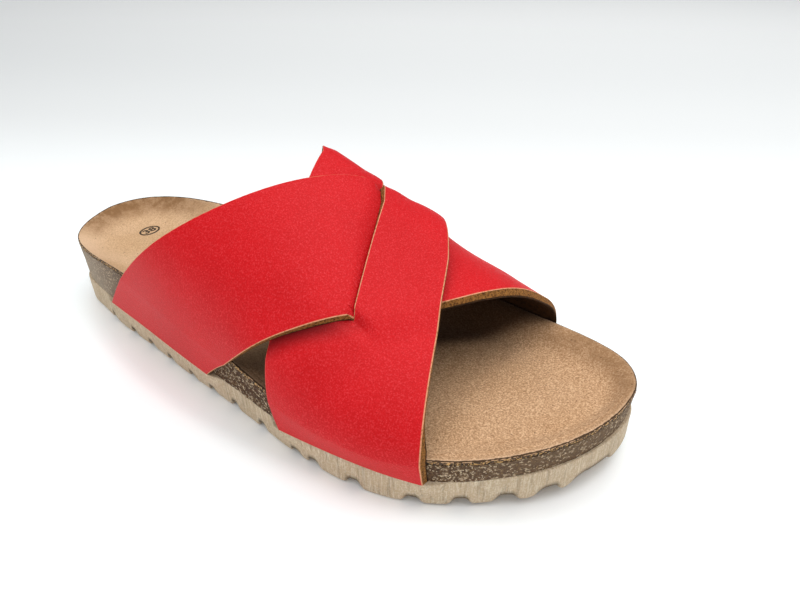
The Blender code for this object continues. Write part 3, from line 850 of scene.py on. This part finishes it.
def makeFootbed():
    edge = Edge(suede["sideSteps"])
    skin = Skin("suedeFootbed", [makeSuedeFinish(), makeEdgeFinish()], suede["sharpAngle"])
    shares = [1.0 - inset / edge.reach for inset in suede["rimSteps"]]
    inner = shares[-1]
    for ring in range(1, suede["innerRings"] + 1):
        shares.append(inner * (1.0 - ring / suede["innerRings"]))
    rings, marks = zip(*(bedRing(edge, share) for share in shares))
    skin.patch(rings, wrap=True, **{name: [ring[name] for ring in marks] for name in marks[0]})
    side = [rings[0]]
    for row in range(1, suede["edgeRows"] + 1):
        share = row / suede["edgeRows"]
        z = mix(rings[0][:, 2], edge.rim - sole["lining"], share)
        rag = unevenness(withHeight(edge.points, z), suede["rags"])
        rag = rag * math.sin(math.pi / 2.0 * min(share * suede["ragGrowth"], 1.0))
        side.append(withHeight(edge.moved(rag), z))
    skin.patch(side, look=1, wrap=True)
    skin.patch([side[-1]] + bedRings(edge, sole["lining"]), look=1, wrap=True)
    piece = skin.make()
    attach(piece, "root")
    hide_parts("footbed")
    return piece


# The plain number in its ring on the heel of the footbed

heelNumber = {
    "x": 22.9,
    "y": 4.3,
    "radiusAlong": 3.3,       # along the shoe
    "radiusAcross": 4.8,
    "ringWidth": 0.85,
    "ringSteps": 96,
    "ringAngle": 30.0,
    "number": "38",
    "letterHeight": 3.5,
    "letterShare": 0.73,      # of the type's size
    "letterStretch": 1.35,
    "letterWeight": 0.13,     # how much bolder the number is than plain type
    "letterWeld": 0.001,
    "thickness": 0.09,
    "raise": 0.05,
    "lookFrom": 120.0,        # a height well above the sole
    "wear": (0.6, 3.0, 0.6),
    "ink": paint(38, 26, 10),
    "worn": paint(124, 92, 58),
}


def makeInkFinish():
    finish = Finish("numberInk")
    wear = finish.ramp(finish.fuzz(finish.place(), *heelNumber["wear"]), 0.45, 0.7)
    colour = finish.tint(wear * 0.5, heelNumber["ink"], heelNumber["worn"])
    finish.wear(Base_Color=colour, Roughness=0.6 + wear * 0.3)
    return finish.material


def heightOn(piece, x, y):
    start = Vector(toFrame((x, y, heelNumber["lookFrom"])).tolist())
    hit, spot, _, _ = piece.ray_cast(start, Vector((0.0, 0.0, -1.0)))
    return spot.z * 1000.0 if hit else 0.0


def layOn(piece, bed):  # the flat mesh, given in mm about the ring's middle, is laid on the footbed
    for vertex in piece.data.vertices:
        across, up, out = vertex.co
        x, y = heelNumber["x"] - up, heelNumber["y"] + across * heelNumber["letterStretch"]
        z = heightOn(bed, x, y) + heelNumber["raise"] + out
        vertex.co = toFrame((x, y, z)).tolist()
    piece.data.update()


def makeNumber(bed):
    ink = makeInkFinish()
    text = bpy.data.curves.new("sizeNumber", "FONT")
    text.body = heelNumber["number"]
    text.size = heelNumber["letterHeight"] / heelNumber["letterShare"]
    text.align_x = "CENTER"
    text.align_y = "CENTER"
    text.extrude = heelNumber["thickness"] / 2.0
    text.offset = heelNumber["letterWeight"]
    holder = addObject("sizeNumberText", text)
    bpy.context.view_layer.update()
    mesh = bpy.data.meshes.new_from_object(holder)
    bpy.data.objects.remove(holder)
    shape = bmesh.new()
    shape.from_mesh(mesh)
    bmesh.ops.triangulate(shape, faces=shape.faces)
    bmesh.ops.remove_doubles(shape, verts=shape.verts, dist=heelNumber["letterWeld"])
    shape.to_mesh(mesh)
    shape.free()
    mesh.materials.clear()
    mesh.materials.append(ink)
    number = addObject("sizeNumber", mesh)
    layOn(number, bed)

    half = heelNumber["ringWidth"] / 2.0
    section = ((half, 0.0), (half, 1.0), (-half, 1.0), (-half, 0.0), (half, 0.0))
    skin = Skin("sizeRing", [ink], heelNumber["ringAngle"])
    turns = np.linspace(0.0, 2.0 * math.pi, heelNumber["ringSteps"] + 1)[:-1]
    rows = []
    for out, level in section:
        along = (heelNumber["radiusAlong"] + out) * np.cos(turns)
        across = (heelNumber["radiusAcross"] + out) * np.sin(turns)
        ring = np.stack((heelNumber["x"] + along, heelNumber["y"] + across), axis=1)
        base = np.array([heightOn(bed, x, y) for x, y in ring])
        z = base + heelNumber["raise"] + (level - 0.5) * heelNumber["thickness"]
        rows.append(withHeight(ring, z))
    skin.patch(rows, wrap=True)
    for piece in (number, skin.make()):
        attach(piece, "root")


# The straps

vaultColumns = ("x", "crestZ", "crestY")
vaultRows = (
    (40, 112.5, 6.0),
    (80, 101.5, 12.5),
    (120, 89.0, 15.5),
    (150, 77.0, 13.0),
    (180, 59.0, 9.5),
    (215, 50.0, 4.5),
)
leather = {
    "length": 165.0,          # about a strap's length from sole to sole, and its width
    "width": 62.0,
    "thickness": 2.6,
    "clearance": 0.5,
    "outerWidthPower": 1.9,
    "outerHeightPower": 2.0,
    "innerWidthPower": 2.0,
    "innerHeightPower": 1.6,
    "wallShare": 0.08,
    "sink": 0.35,             # the strap's end sits this deep in the foam
    # How far an edge's cut is set back under the outer face, by its share of the way over the foot
    "frontLeans": ((0.0, -0.3), (0.12, -0.5), (0.22, 0.8), (0.35, 1.2), (0.50, 0.4)),
    "backLeans": ((0.30, -0.3), (0.45, -0.9), (0.55, -1.5), (0.75, -1.5), (0.85, -1.0)),
    "rearLeans": ((0.0, 0.0), (0.1, 0.8)),
    "lipLeans": ((0.32, 0.0), (0.42, -0.5), (0.52, -1.6), (0.62, -1.6), (0.67, 0.0)),
    "noLean": ((0.0, 0.0), (1.0, 0.0)),
    "outerRound": 0.45,
    "innerRound": 0.35,
    "roundRows": 5,
    "cutSteps": 5,
    "innerAngles": (30.0, 60.0, 90.0),
    "sharpAngle": 42.0,
    "fray": ((0.9, 3.0, 0.06),),   # size, seed and height
    "frayWay": 90.0,          # how long the frayed edge is for the noise, and how far apart its rows are
    "frayRow": 0.3,
    "stepsOver": 260,
    "stepsWide": 34,
    "paleStart": (0.41, 0.03),   # along the back strap's rear edge
    "paleEnd": (0.50, -0.02),
    "paleShare": 0.8,
    "farOff": 99.0,           # from an edge that isn't cut
    "pebbleSize": 0.7,
    "pores": (0.55, 2.0, 0.7),
    "clouds": (26.0, 3.0, 0.5),
    "red": paint(210, 11, 21),
    "deepRed": paint(192, 3, 10),
    "paleRed": paint(224, 57, 63),
    "tuckShadowRed": paint(96, 3, 8),
    "paleEdge": paint(222, 150, 112),
    "cut": paint(158, 106, 48),
    "cutDark": paint(84, 48, 16),
    "lining": paint(70, 44, 22),
    "liningDark": paint(44, 27, 13),
}
# How the straps pass through each other. A share is of the way over the foot, from the outer side, and a
# place is from a strap's rear edge to its front edge. A pair is where a change starts and its length.
weave = {
    "climb": 2.75,            # how far one strap is raised to pass over the other
    "rise": (0.06, 0.16),
    "foreBase": 0.2,          # the part of the climb at the front strap's rear edge
    "coverMargin": 0.25,
    "forwardOver": (0.1, 0.8),
    "lowOver": (0.25, 0.75),  # the same, low on the outer side
    "lowEnd": (0.42, -0.1),
    "pressMargin": 0.12,
    "slitStart": 0.311,
    "slitEnd": 0.655,
    "slitOpening": 0.012,
    "startLength": 0.02,      # how soon its two lips part at either end
    "endLength": 0.05,
    "slitAir": 0.12,
    "slitSpread": 0.22,
    "slitSpreadLow": 0.20,
    "spreadChange": (0.36, 0.08),
    "slitLean": 0.5,          # how far its lower end lies ahead of the strap's middle
    "slitLeanEnd": (0.52, -0.24),
    "diveShort": 0.9,         # how far behind the slit the back strap begins to go down
    "diveLong": 5.5,
    "diveChange": (0.33, 0.12),
    "diveSoftness": 0.3,
    "diveEnd": (1.08, -0.08),
    "lipShare": 0.60,         # where the slit's lips part most
    "lipFall": 0.9,
    "lipFallWidth": 0.05,
    "lipFallEnd": (0.62, -0.15),
    "lipRise": 0.8,
    "lipRiseWidth": 0.07,
    "lipRiseStart": (0.33, 0.15),
    "tipCurl": 1.2,           # the front strap's rear tip bends down
    "tipShare": 0.62,
    "tipWidth": 0.12,
    "tipReach": 0.12,
    "tuckReach": 9.0,         # the painted shadow on the front strap reaches this far ahead of the back strap's front edge
    "tuckBehind": 6.0,
    "tuckStart": (0.08, 0.06),
    "tuckEnd": (0.34, -0.08),
}
leatherOut = leather["thickness"] + leather["clearance"]
vaultTable = table(vaultColumns, vaultRows)
crestZ = naturalSpline(vaultTable["x"], vaultTable["crestZ"])
crestY = naturalSpline(vaultTable["x"], vaultTable["crestY"])
leatherIn = leatherOut - corkInset(wholeEdge.x)
sideLines = {
    "outerRim": wholeEdge.sideLine(leatherOut, True),
    "innerRim": wholeEdge.sideLine(leatherOut, False),
    "outerBase": wholeEdge.sideLine(leatherIn, True),
    "innerBase": wholeEdge.sideLine(leatherIn, False),
}
edgeLines = {name: naturalSpline(edgeShares, places) for name, places in strapEdges.items()}


def vaultPoint(x, share, lift):  # the straps' outer face: share 0 is the outer foot, 1 the inner foot
    x, share, lift = np.broadcast_arrays(x, share, lift)
    isOuter = share < 0.5
    middleY, middleZ = crestY(x), crestZ(x)
    turns = turnAt(x)
    rimY = np.where(isOuter, sideLines["outerRim"](x), sideLines["innerRim"](x))
    baseY = np.where(isOuter, sideLines["outerBase"](x), sideLines["innerBase"](x))
    rimZ = np.where(isOuter, soleCurves["outerRim"](turns), soleCurves["innerRim"](turns))
    widthPower = np.where(isOuter, leather["outerWidthPower"], leather["innerWidthPower"])
    heightPower = np.where(isOuter, leather["outerHeightPower"], leather["innerHeightPower"])
    outward = np.where(isOuter, -1.0, 1.0)

    upWall = np.minimum(share, 1.0 - share) / leather["wallShare"]
    onWall = upWall < 1.0
    baseZ = foamTop(x) - leather["sink"]
    tuck = footTuck(x, isOuter) * np.clip(1.0 - upWall, 0.0, 1.0) ** feet["tuckPower"]
    wallY = mix(baseY, rimY, upWall) + outward * (lift - tuck)
    wallZ = mix(baseZ, rimZ, upWall)

    angle = math.pi * (share - leather["wallShare"]) / (1.0 - 2.0 * leather["wallShare"])
    angle = np.clip(angle, 0.0, math.pi)
    across = np.abs(np.cos(angle)) ** (2.0 / widthPower)
    above = np.sin(angle) ** (2.0 / heightPower)
    side = (middleZ - rimZ) / np.abs(rimY - middleY) * across * outward
    length = np.hypot(side, above)
    archY = mix(middleY, rimY, across) + lift * side / length
    archZ = mix(rimZ, middleZ, above) + lift * above / length
    y = np.where(onWall, wallY, archY)
    z = np.where(onWall, wallZ, archZ)
    return np.stack((x, y, z), axis=-1)


def placeIn(strap, x, share):  # 0 at the strap's rear edge, 1 at its front edge
    rear, front = edgeLines[strap + "Rear"](share), edgeLines[strap + "Front"](share)
    return (x - rear) / (front - rear)


def cover(place, margin):  # 1 inside the other strap, falling to 0 a little outside its edges
    return fade(place, -margin, margin) * fade(place, 1.0 + margin, -margin)


def forwardOver(x, share):  # from 0 to 1 across the front strap
    return fade(placeIn("frontStrap", x, share), *weave["forwardOver"])


def foreLift(x, share):  # the half ahead of the slit lies over the back strap
    place = placeIn("frontStrap", x, share)
    raised = weave["climb"] * np.clip(mix(weave["foreBase"], 1.0, place), 0.0, 1.0)
    lip = weave["lipFall"] * bump(share - weave["lipShare"], weave["lipFallWidth"])
    lip = lip * fade(place, *weave["lipFallEnd"])
    return raised * cover(placeIn("backStrap", x, share), weave["coverMargin"]) - lip


def backLift(x, share):  # the back strap lies over the rear half and dives through the slit
    place = placeIn("frontStrap", x, share)
    swell = bulge("backStrap", share, placeIn("backStrap", x, share))
    low = fade(share, *weave["lowEnd"])
    forward = mix(forwardOver(x, share), fade(place, *weave["lowOver"]), low)
    free = weave["climb"] * fade(share, *weave["rise"]) * (1.0 - forward) + swell
    ceiling = foreLift(x, share) + bulge("frontStrap", share, place)
    ceiling = ceiling - leather["thickness"] - weave["slitAir"]
    above = (free - ceiling + np.hypot(free - ceiling, weave["diveSoftness"])) / 2.0
    length = mix(weave["diveShort"], weave["diveLong"], fade(share, *weave["diveChange"]))
    under = smooth((x - slitLine(share)) / length + 1.0)
    return free - above * under * fade(place, *weave["diveEnd"])


def rearLift(x, share):  # the half behind the slit lies under the back strap
    pressed = backLift(x, share) - leather["thickness"] - weave["slitAir"]
    place = placeIn("frontStrap", x, share)
    curl = weave["tipCurl"] * smooth(1.0 - place / weave["tipReach"])
    curl = curl * bump(share - weave["tipShare"], weave["tipWidth"])
    lip = weave["lipRise"] * bump(share - weave["lipShare"], weave["lipRiseWidth"])
    lip = lip * fade(place, *weave["lipRiseStart"])
    return pressed * cover(placeIn("backStrap", x, share), weave["pressMargin"]) - curl + lip


# The straps swell out towards their front edges. Each row is a swelling's height, the share where its
# middle is, half of its width, how far its middle leans over the foot, and the place where it starts.
bulges = {
    "frontStrap": (
        (4.0, 0.55, 0.20, 0.0, 0.70),
    ),
    "backStrap": (
        (2.7, 0.55, 0.18, 0.25, 0.10),
        (-1.5, 0.225, 0.09, 0.0, 0.50),
    ),
}


def bulge(strap, share, place):
    total = 0.0
    for height, middle, halfWidth, lean, start in bulges[strap]:
        along = smooth(1.0 - np.abs(share - middle - lean * (1.0 - place)) / halfWidth)
        total = total + height * along * fade(place, start, 1.0 - start)
    return total


def slitLine(share):
    middle = (edgeLines["frontStrapRear"](share) + edgeLines["frontStrapFront"](share)) / 2.0
    return middle + weave["slitLean"] * fade(share, *weave["slitLeanEnd"])


def slitOpen(share):
    start = fade(share, weave["slitStart"], weave["slitOpening"])
    return start * fade(share, weave["slitEnd"], -weave["slitOpening"])


def frontLift(own):  # the two halves share one height where the slit is shut
    def lift(x, share):
        middle = slitLine(share)
        place, slitPlace = placeIn("frontStrap", x, share), placeIn("frontStrap", middle, share)
        parted = fade(share, weave["slitStart"], weave["startLength"])
        parted = parted * fade(share, weave["slitEnd"], -weave["endLength"])
        spread = mix(weave["slitSpreadLow"], weave["slitSpread"], fade(share, *weave["spreadChange"]))
        near = smooth(1.0 - np.abs(place - slitPlace) / spread) * (1.0 - parted)
        common = (foreLift(middle, share) + rearLift(middle, share)) / 2.0
        return mix(own(x, share), common, near) + bulge("frontStrap", share, place)

    return lift


# Creases: strap, from share and place to share and place, depth and width in mm
creases = {
    "backStrap": (
        (0.10, 0.30, 0.24, 0.42, 0.10, 3.0),
        (0.16, 0.72, 0.30, 0.86, 0.12, 2.4),
        (0.30, 0.20, 0.42, 0.26, 0.10, 4.0),
        (0.62, 0.55, 0.74, 0.60, 0.15, 3.0),
    ),
    "frontStrap": (
        (0.10, 0.20, 0.20, 0.46, 0.16, 1.6),
        (0.12, 0.12, 0.22, 0.36, 0.14, 1.4),
        (0.16, 0.40, 0.26, 0.62, 0.12, 1.5),
        (0.24, 0.56, 0.34, 0.62, 0.16, 1.8),
        (0.28, 0.66, 0.36, 0.80, 0.12, 2.0),
        (0.05, 0.30, 0.10, 0.70, 0.12, 3.0),
        (0.72, 0.40, 0.82, 0.60, 0.15, 2.5),
    ),
}
def creaseDepth(strap, x, share):
    x, share = np.broadcast_arrays(x, share)
    width = edgeLines[strap + "Front"](share) - edgeLines[strap + "Rear"](share)
    over, wide = leather["length"], leather["width"]
    xy = np.stack((share * over, placeIn(strap, x, share) * width), axis=-1)
    total = 0.0
    for share0, place0, share1, place1, depth, size in creases[strap]:
        ends = (share0 * over, place0 * wide, share1 * over, place1 * wide)
        total = total + lineTrough(xy, (*ends, depth, size))
    return total


def cutProfile(scale, lean):  # inward and depth of a cut edge, from the outer to the inner face
    outer, inner = leather["outerRound"] * scale, leather["innerRound"] * scale
    rows = []
    for angle in np.radians(np.linspace(0.0, 90.0, leather["roundRows"])):
        rows.append((outer * (1.0 - np.sin(angle)), outer * (1.0 - np.cos(angle))))
    for step in range(1, leather["cutSteps"] + 1):
        share = step / leather["cutSteps"]
        rows.append((lean * share, mix(outer, leather["thickness"] - inner, share)))
    for angle in np.radians(leather["innerAngles"]):
        inward = lean + inner * (1.0 - np.cos(angle))
        rows.append((inward, leather["thickness"] - inner * (1.0 - np.sin(angle))))
    return rows


# What each strip of a cut edge is made of: 0 red, 1 pale line, 2 brown cut, 3 lining
cutLooks = np.array([1, 1, 2, 2, 2, 2, 2, 2, 3, 3, 3, 3])
quietLooks = np.array([0, 0, 0, 2, 2, 2, 2, 2, 3, 3, 3, 3])


overShares = np.linspace(0.0, 1.0, leather["stepsOver"] + 1)[:, None]


def stripPoints(strap, x, depth, liftAt):
    return vaultPoint(x, overShares, liftAt(x, overShares) - depth - creaseDepth(strap, x, overShares))


def stripSide(line, cut=np.ones_like, leans=leather["noLean"], pale=np.ones_like):
    # One side of a strip: its line over the shoe, where it is cut and where it is open to its neighbour,
    # how far the cut is set back under the outer face, and where its rim is pale
    return {"line": line(overShares), "cut": cut(overShares),
            "lean": np.interp(overShares, *zip(*leans)), "pale": pale(overShares)}


def tuckShade(strap, x):  # painted shadow: the front strap is darker where it comes out from under the back strap
    ahead = x - edgeLines["backStrapFront"](overShares)
    tuck = smooth(1.0 - ahead / weave["tuckReach"])
    tuck = tuck * (ahead > -weave["tuckBehind"]) * (strap == "frontStrap")
    return tuck * fade(overShares, *weave["tuckStart"]) * fade(overShares, *weave["tuckEnd"])


def makeStrip(skin, strap, liftAt, low, high):  # one closed strip between its low and its high side
    across = np.linspace(0.0, 1.0, leather["stepsWide"] + 1)[None, :]
    faces = []
    for depth, corner, under in ((0.0, leather["outerRound"], 0.0),
                                 (leather["thickness"], leather["innerRound"], 1.0)):
        start = low["line"] + corner * low["cut"] + under * low["lean"]
        stop = high["line"] - corner * high["cut"] - under * high["lean"]
        faces.append(stripPoints(strap, mix(start, stop, across), depth, liftAt))
    away = []   # how far a point is from either side's pale rim
    for side, way in ((low, across), (high, 1.0 - across)):
        uncut = leather["farOff"] * (1.0 - side["cut"])
        away.append((high["line"] - low["line"]) * way + uncut + 1.0 - side["pale"])
    # the painted shadow from under the back strap, carried as the mark tuck
    tuck = tuckShade(strap, mix(low["line"], high["line"], across))
    skin.patch(faces[0], look=0, edge=np.minimum(*away), tuck=tuck)
    skin.patch(faces[1], look=3)
    profiles = []
    for side, way in ((low, 1.0), (high, -1.0)):
        columns = []
        for number, (inward, depth) in enumerate(cutProfile(side["cut"], side["lean"])):
            row = np.full_like(overShares, number * leather["frayRow"])
            spot = np.concatenate((overShares * leather["frayWay"], side["line"], row), axis=1)[:, None]
            fray = unevenness(spot, leather["fray"]) * side["cut"]
            fray = fray * (number >= leather["roundRows"] - 1)
            columns.append(stripPoints(strap, side["line"] + way * (inward + fray), depth, liftAt))
        profile = np.concatenate(columns, axis=1)
        profiles.append(profile)
        rows = np.flatnonzero(side["cut"][:, 0] > 0.0)
        if len(rows):
            first, last = max(rows[0] - 1, 0), min(rows[-1] + 2, len(overShares))
            skin.patch(profile[first:last], look=quietLooks if side["pale"].min() < 1.0 else cutLooks)
    return faces, profiles


def backRearPale(share):  # the back strap's rear edge is pale only where it lies on the front strap
    return leather["paleShare"] * fade(share, *leather["paleStart"]) * fade(share, *leather["paleEnd"])


def capStrap(skin, faces, low, high):  # closes the strap's two ends at the foam
    outer, inner = faces
    half = (low.shape[1] - 1) // 2
    for row in (0, -1):
        top = np.concatenate((low[row, half:0:-1], outer[row], high[row, 1:half + 1]))
        under = np.concatenate((low[row, half:-1], inner[row], high[row, -2:half - 1:-1]))
        skin.patch((top, under), look=2)


def makeRedFinish():
    finish = Finish("redLeather", Specular_IOR_Level=0.18)
    place = finish.place()
    pebbles = finish.grains(place, leather["pebbleSize"])
    pores = finish.fuzz(place, *leather["pores"])
    clouds = finish.fuzz(place, *leather["clouds"])
    rim = finish.ramp(finish.mark("edge") + pores * 0.3, 0.34, 0.12)
    colour = finish.coats(
        leather["red"],
        (finish.ramp(clouds, 0.35, 0.7) * 0.5, leather["deepRed"]),
        (finish.ramp(pores, 0.48, 0.66) * 0.7, leather["paleRed"]),
        (finish.ramp(pores, 0.50, 0.36) * 0.5, leather["deepRed"]),
        (finish.ramp(pebbles, 0.3, 0.6) * 0.25, leather["deepRed"]),
        # painted shadow where the front strap comes out from under the back strap
        (finish.mark("tuck") * 0.75, leather["tuckShadowRed"]),
        (rim * 0.4, leather["paleEdge"]))
    height = 0.14 * pores - 0.05 * pebbles
    finish.wear(Base_Color=colour, Roughness=0.44 + pores * 0.16, Normal=finish.relief(height))
    return finish.material


# Roughness, gloss, noise, ramp, the two colours and the depth of the relief
fibreLooks = {
    "paleCutLine": (0.7, 0.5, (0.8, 3.0, 0.6), (0.45, 0.7), ("paleEdge", "cut"), 0.15),
    "cutLeather": (0.85, 0.25, (0.7, 4.0, 0.7), (0.4, 0.65), ("cut", "cutDark"), 0.5),
    "liningLeather": (0.9, 0.2, (1.2, 4.0, 0.7), (0.4, 0.65), ("lining", "liningDark"), 0.3),
}


def makeFibreFinish(name, roughness, gloss, fibre, spread, colours, depth):
    finish = Finish(name, Roughness=roughness, Specular_IOR_Level=gloss)
    fibres = finish.fuzz(finish.place(), *fibre)
    colour = finish.tint(finish.ramp(fibres, *spread), *(leather[colour] for colour in colours))
    finish.wear(Base_Color=colour, Normal=finish.relief(fibres * depth))
    return finish.material


def makeStraps():
    looks = [makeRedFinish()] + [makeFibreFinish(name, *look) for name, look in fibreLooks.items()]
    back = Skin("backStrap", looks, leather["sharpAngle"])
    faces, (low, high) = makeStrip(
        back, "backStrap", backLift,
        stripSide(edgeLines["backStrapRear"], leans=leather["rearLeans"], pale=backRearPale),
        stripSide(edgeLines["backStrapFront"], leans=leather["backLeans"]))
    capStrap(back, faces, low, high)

    front = Skin("frontStrap", looks, leather["sharpAngle"])
    rearFaces, (low, _) = makeStrip(
        front, "frontStrap", frontLift(rearLift),
        stripSide(edgeLines["frontStrapRear"], leans=leather["rearLeans"], pale=np.zeros_like),
        stripSide(slitLine, cut=slitOpen))
    foreFaces, (_, high) = makeStrip(
        front, "frontStrap", frontLift(foreLift),
        stripSide(slitLine, cut=slitOpen, leans=leather["lipLeans"]),
        stripSide(edgeLines["frontStrapFront"], leans=leather["frontLeans"]))
    faces = [np.concatenate(halves, axis=1) for halves in zip(rearFaces, foreFaces)]
    capStrap(front, faces, low, high)
    for skin in (back, front):
        piece = skin.make()
        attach(piece, "root")
        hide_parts("upper")


# The room: floor, light and camera, in metres and degrees

room = {
    "floorSize": 8.0,
    "floorColour": (0.93, 0.94, 0.94, 1.0),
    # painted shade and light: the floor is duller far off and lighter again towards the horizon
    "floorFar": (0.77, 0.785, 0.78, 1.0),
    "floorHorizon": (0.95, 0.96, 0.95, 1.0),
    # painted light: the floor glows by itself, less close around the sole and far off
    "floorGlow": (0.15, 0.175, 0.175, 1.0),
    "farGlow": (0.09, 0.09, 0.088, 1.0),
    "floorDim": (0.03, 0.03, 0.03, 1.0),   # close around the sole
    "dimAcross": (1.0 / 0.128, 1.0 / 0.051, 0.0),   # one over half of the sole's length and width
    "dimEdge": (0.95, 1.12),   # as shares of those
    "fadeWay": (-0.480, 0.885, 0.0),   # painted shade: the floor grows duller away from the camera
    "far": (0.06, 0.32),
    "horizon": (0.40, 0.85),
    "skyColour": (0.93, 0.96, 1.0, 1.0),
    "skyStrength": 0.32,
    "lamps": (   # name, from, towards, size, watts
        ("overheadLamp", (0.08, 0.05, 1.0), (0.0, 0.0, 0.0), 1.3, 10.8),
        ("sideLamp", (0.0, -0.9, 0.7), (0.0, 0.0, 0.03), 1.0, 2.6),
        ("toeLamp", (0.6, 0.5, 0.7), (0.1, 0.0, 0.03), 0.8, 2.0),
    ),
}
shot = {
    "place": (0.16083, -0.16337, 0.17601),
    "turns": (56.9475, 0.3087, 34.8520),
    "lens": 30.573,
    "sensor": 36.0,
    "nearest": 0.01,
}


def makeFloor():
    half = room["floorSize"] / 2.0
    mesh = bpy.data.meshes.new("floor")
    corners = [(-half, -half, 0.0), (half, -half, 0.0), (half, half, 0.0), (-half, half, 0.0)]
    mesh.from_pydata(corners, [], [(0, 1, 2, 3)])
    floor = addObject("floor", mesh)
    finish = Finish("paleFloor", Roughness=0.6, Specular_IOR_Level=0.3)
    spot = finish.node("TexCoord", output="Object")
    sockets = {0: spot, 1: room["fadeWay"]}
    away = finish.node("VectorMath", {"operation": "DOT_PRODUCT"}, sockets, "Value")
    far = finish.ramp(away, *room["far"])
    around = finish.node("VectorMath", {"operation": "MULTIPLY"}, {0: spot, 1: room["dimAcross"]})
    around = finish.node("VectorMath", {"operation": "LENGTH"}, {0: around}, "Value")
    # painted light: the floor's own glow, dimmer close around the sole and far off
    glow = finish.coats(room["floorDim"], (finish.ramp(around, *room["dimEdge"]), room["floorGlow"]),
                        (far, room["farGlow"]))
    # painted shade and light: duller far off, lighter towards the horizon
    colour = finish.coats(room["floorColour"], (far, room["floorFar"]),
                          (finish.ramp(away, *room["horizon"]), room["floorHorizon"]))
    finish.wear(Base_Color=colour, Emission_Color=glow, Emission_Strength=1.0)
    mesh.materials.append(finish.material)


def makeLights():
    world = bpy.data.worlds.new("paleSky")
    world.use_nodes = True
    sky = world.node_tree.nodes["Background"]
    sky.inputs["Color"].default_value = room["skyColour"]
    sky.inputs["Strength"].default_value = room["skyStrength"]
    bpy.context.scene.world = world
    for name, place, target, size, watts in room["lamps"]:
        lamp = bpy.data.lights.new(name, "AREA")
        lamp.size = size
        lamp.energy = watts
        holder = addObject(name, lamp)
        holder.location = place
        holder.rotation_euler = (Vector(target) - Vector(place)).to_track_quat("-Z", "Y").to_euler()


def makeCamera():
    lens = bpy.data.cameras.new("photoCamera")
    lens.lens = shot["lens"]
    lens.sensor_width = shot["sensor"]
    lens.clip_start = shot["nearest"]
    camera = addObject("photoCamera", lens)
    camera.location = shot["place"]
    camera.rotation_euler = [math.radians(turn) for turn in shot["turns"]]
    bpy.context.scene.camera = camera


makeOutsole()
makeCork()
footbed = makeFootbed()
makeNumber(footbed)
makeStraps()
makeFloor()
makeLights()
makeCamera()
bpy.context.scene.view_settings.view_transform = "Standard"
print("floor, lights and camera placed")
